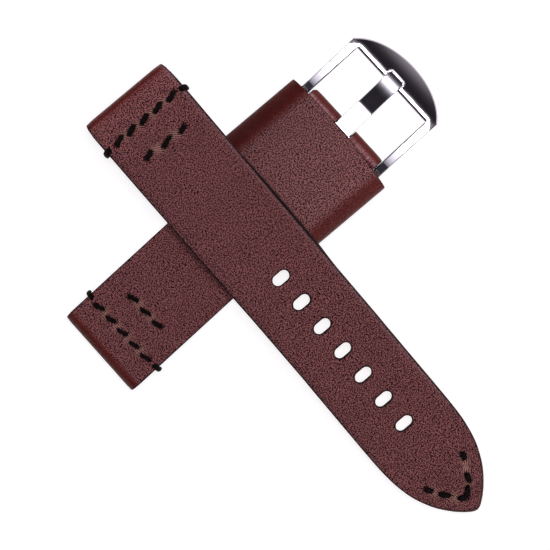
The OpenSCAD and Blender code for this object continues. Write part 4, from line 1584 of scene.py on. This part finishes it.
mesh = bpy.data.meshes.new("floor")
mesh.from_pydata([(-3, -3, 0), (3, -3, 0), (3, 3, 0), (-3, 3, 0)], [], [(0, 1, 2, 3)])
floor = bpy.data.objects.new("floor", mesh)
bpy.context.scene.collection.objects.link(floor)
mat, nt, bsdf = node_tree("floor_pale")
setin(bsdf, "Base Color", (0.36, 0.36, 0.36, 1))
setin(bsdf, "Roughness", 0.9)
setin(bsdf, "Specular IOR Level", 0.1)
setin(bsdf, "Emission Color", (1, 1, 1, 1))
setin(bsdf, "Emission Strength", 0.83)
floor.data.materials.append(mat)

scene = bpy.context.scene
scene.view_settings.view_transform = "Standard"
scene.view_settings.look = "None"
scene.view_settings.exposure = 0.0
scene.view_settings.gamma = 1.0

world = bpy.data.worlds.new("studio")
scene.world = world
world.use_nodes = True
wt = world.node_tree
for n in list(wt.nodes):
    wt.nodes.remove(n)
wout = wt.nodes.new("ShaderNodeOutputWorld")
wbg = wt.nodes.new("ShaderNodeBackground")
wt.links.new(wbg.outputs[0], wout.inputs[0])
wtc = wt.nodes.new("ShaderNodeTexCoord")
wsep = wt.nodes.new("ShaderNodeSeparateXYZ")
wt.links.new(wtc.outputs["Generated"], wsep.inputs[0])
# walls of the room: pale at the floor's edge, dim above it
room = ramp(wt, wsep.outputs["Z"], [(0.0, (1.2, 1.2, 1.22)), (0.03, (1.1, 1.1, 1.12)), (0.09, (0.24, 0.23, 0.25)),
                                    (0.35, (0.12, 0.112, 0.126)), (0.6, (0.06, 0.055, 0.063)), (0.75, (0.02, 0.017, 0.022)),
                                    (1.0, (0.016, 0.014, 0.018))])


def lean(azimuth, zenith):
    a, z = math.radians(azimuth), math.radians(zenith)
    return (math.cos(a) * math.sin(z), math.sin(a) * math.sin(z), math.cos(z))


def soft_light(direction, profile, colour):
    """A round light: brightness by the angle from its middle, in degrees."""
    dot = nd(wt, "ShaderNodeVectorMath", operation="DOT_PRODUCT")
    wt.links.new(wtc.outputs["Generated"], dot.inputs[0])
    dot.inputs[1].default_value = Vector(direction).normalized()
    angle = math_node(wt, "ARCCOSINE", dot.outputs["Value"])
    angle = math_node(wt, "MULTIPLY", angle, 180 / math.pi / 50.0)
    return ramp(wt, angle, [(a / 50.0, tuple(v * c for c in colour)) for a, v in profile])


overhead = soft_light(lean(90, 5.5), [(0, 10.0), (10.0, 10.0), (12, 4.0), (14, 1.4), (16.5, 0.95), (18.5, 0.7),
                                      (20.5, 0.42), (22.5, 0.1), (24.5, 0.02), (27, 0.0)],
                      (1.0, 0.945, 1.06))
side_light = soft_light(lean(97, 80), [(0, 0.38), (8, 0.31), (16, 0.15), (24, 0.04), (30, 0.0)], (1.0, 0.95, 1.05))
total = mix_colour(wt, 1.0, room, overhead, "ADD")
total = mix_colour(wt, 1.0, total, side_light, "ADD")
wt.links.new(total, wbg.inputs[0])
wbg.inputs[1].default_value = 1.0

# ------------------------------------------------------------------- camera

cam_data = bpy.data.cameras.new("camera")
cam = bpy.data.objects.new("camera", cam_data)
scene.collection.objects.link(cam)
DIST = 1.6
cam_data.sensor_width = 36.0
cam_data.lens = 36.0 * DIST / 0.12155
cam_data.clip_end = 20.0
right, up = Vector((0.6759, 0.7370, 0)), Vector((-0.7370, 0.6759, 0))
m = Matrix((right, up, Vector((0, 0, 1)))).transposed().to_4x4()
m.translation = Vector((-0.008045, -0.006541, 0.005 + DIST))
cam.matrix_world = m
scene.camera = cam
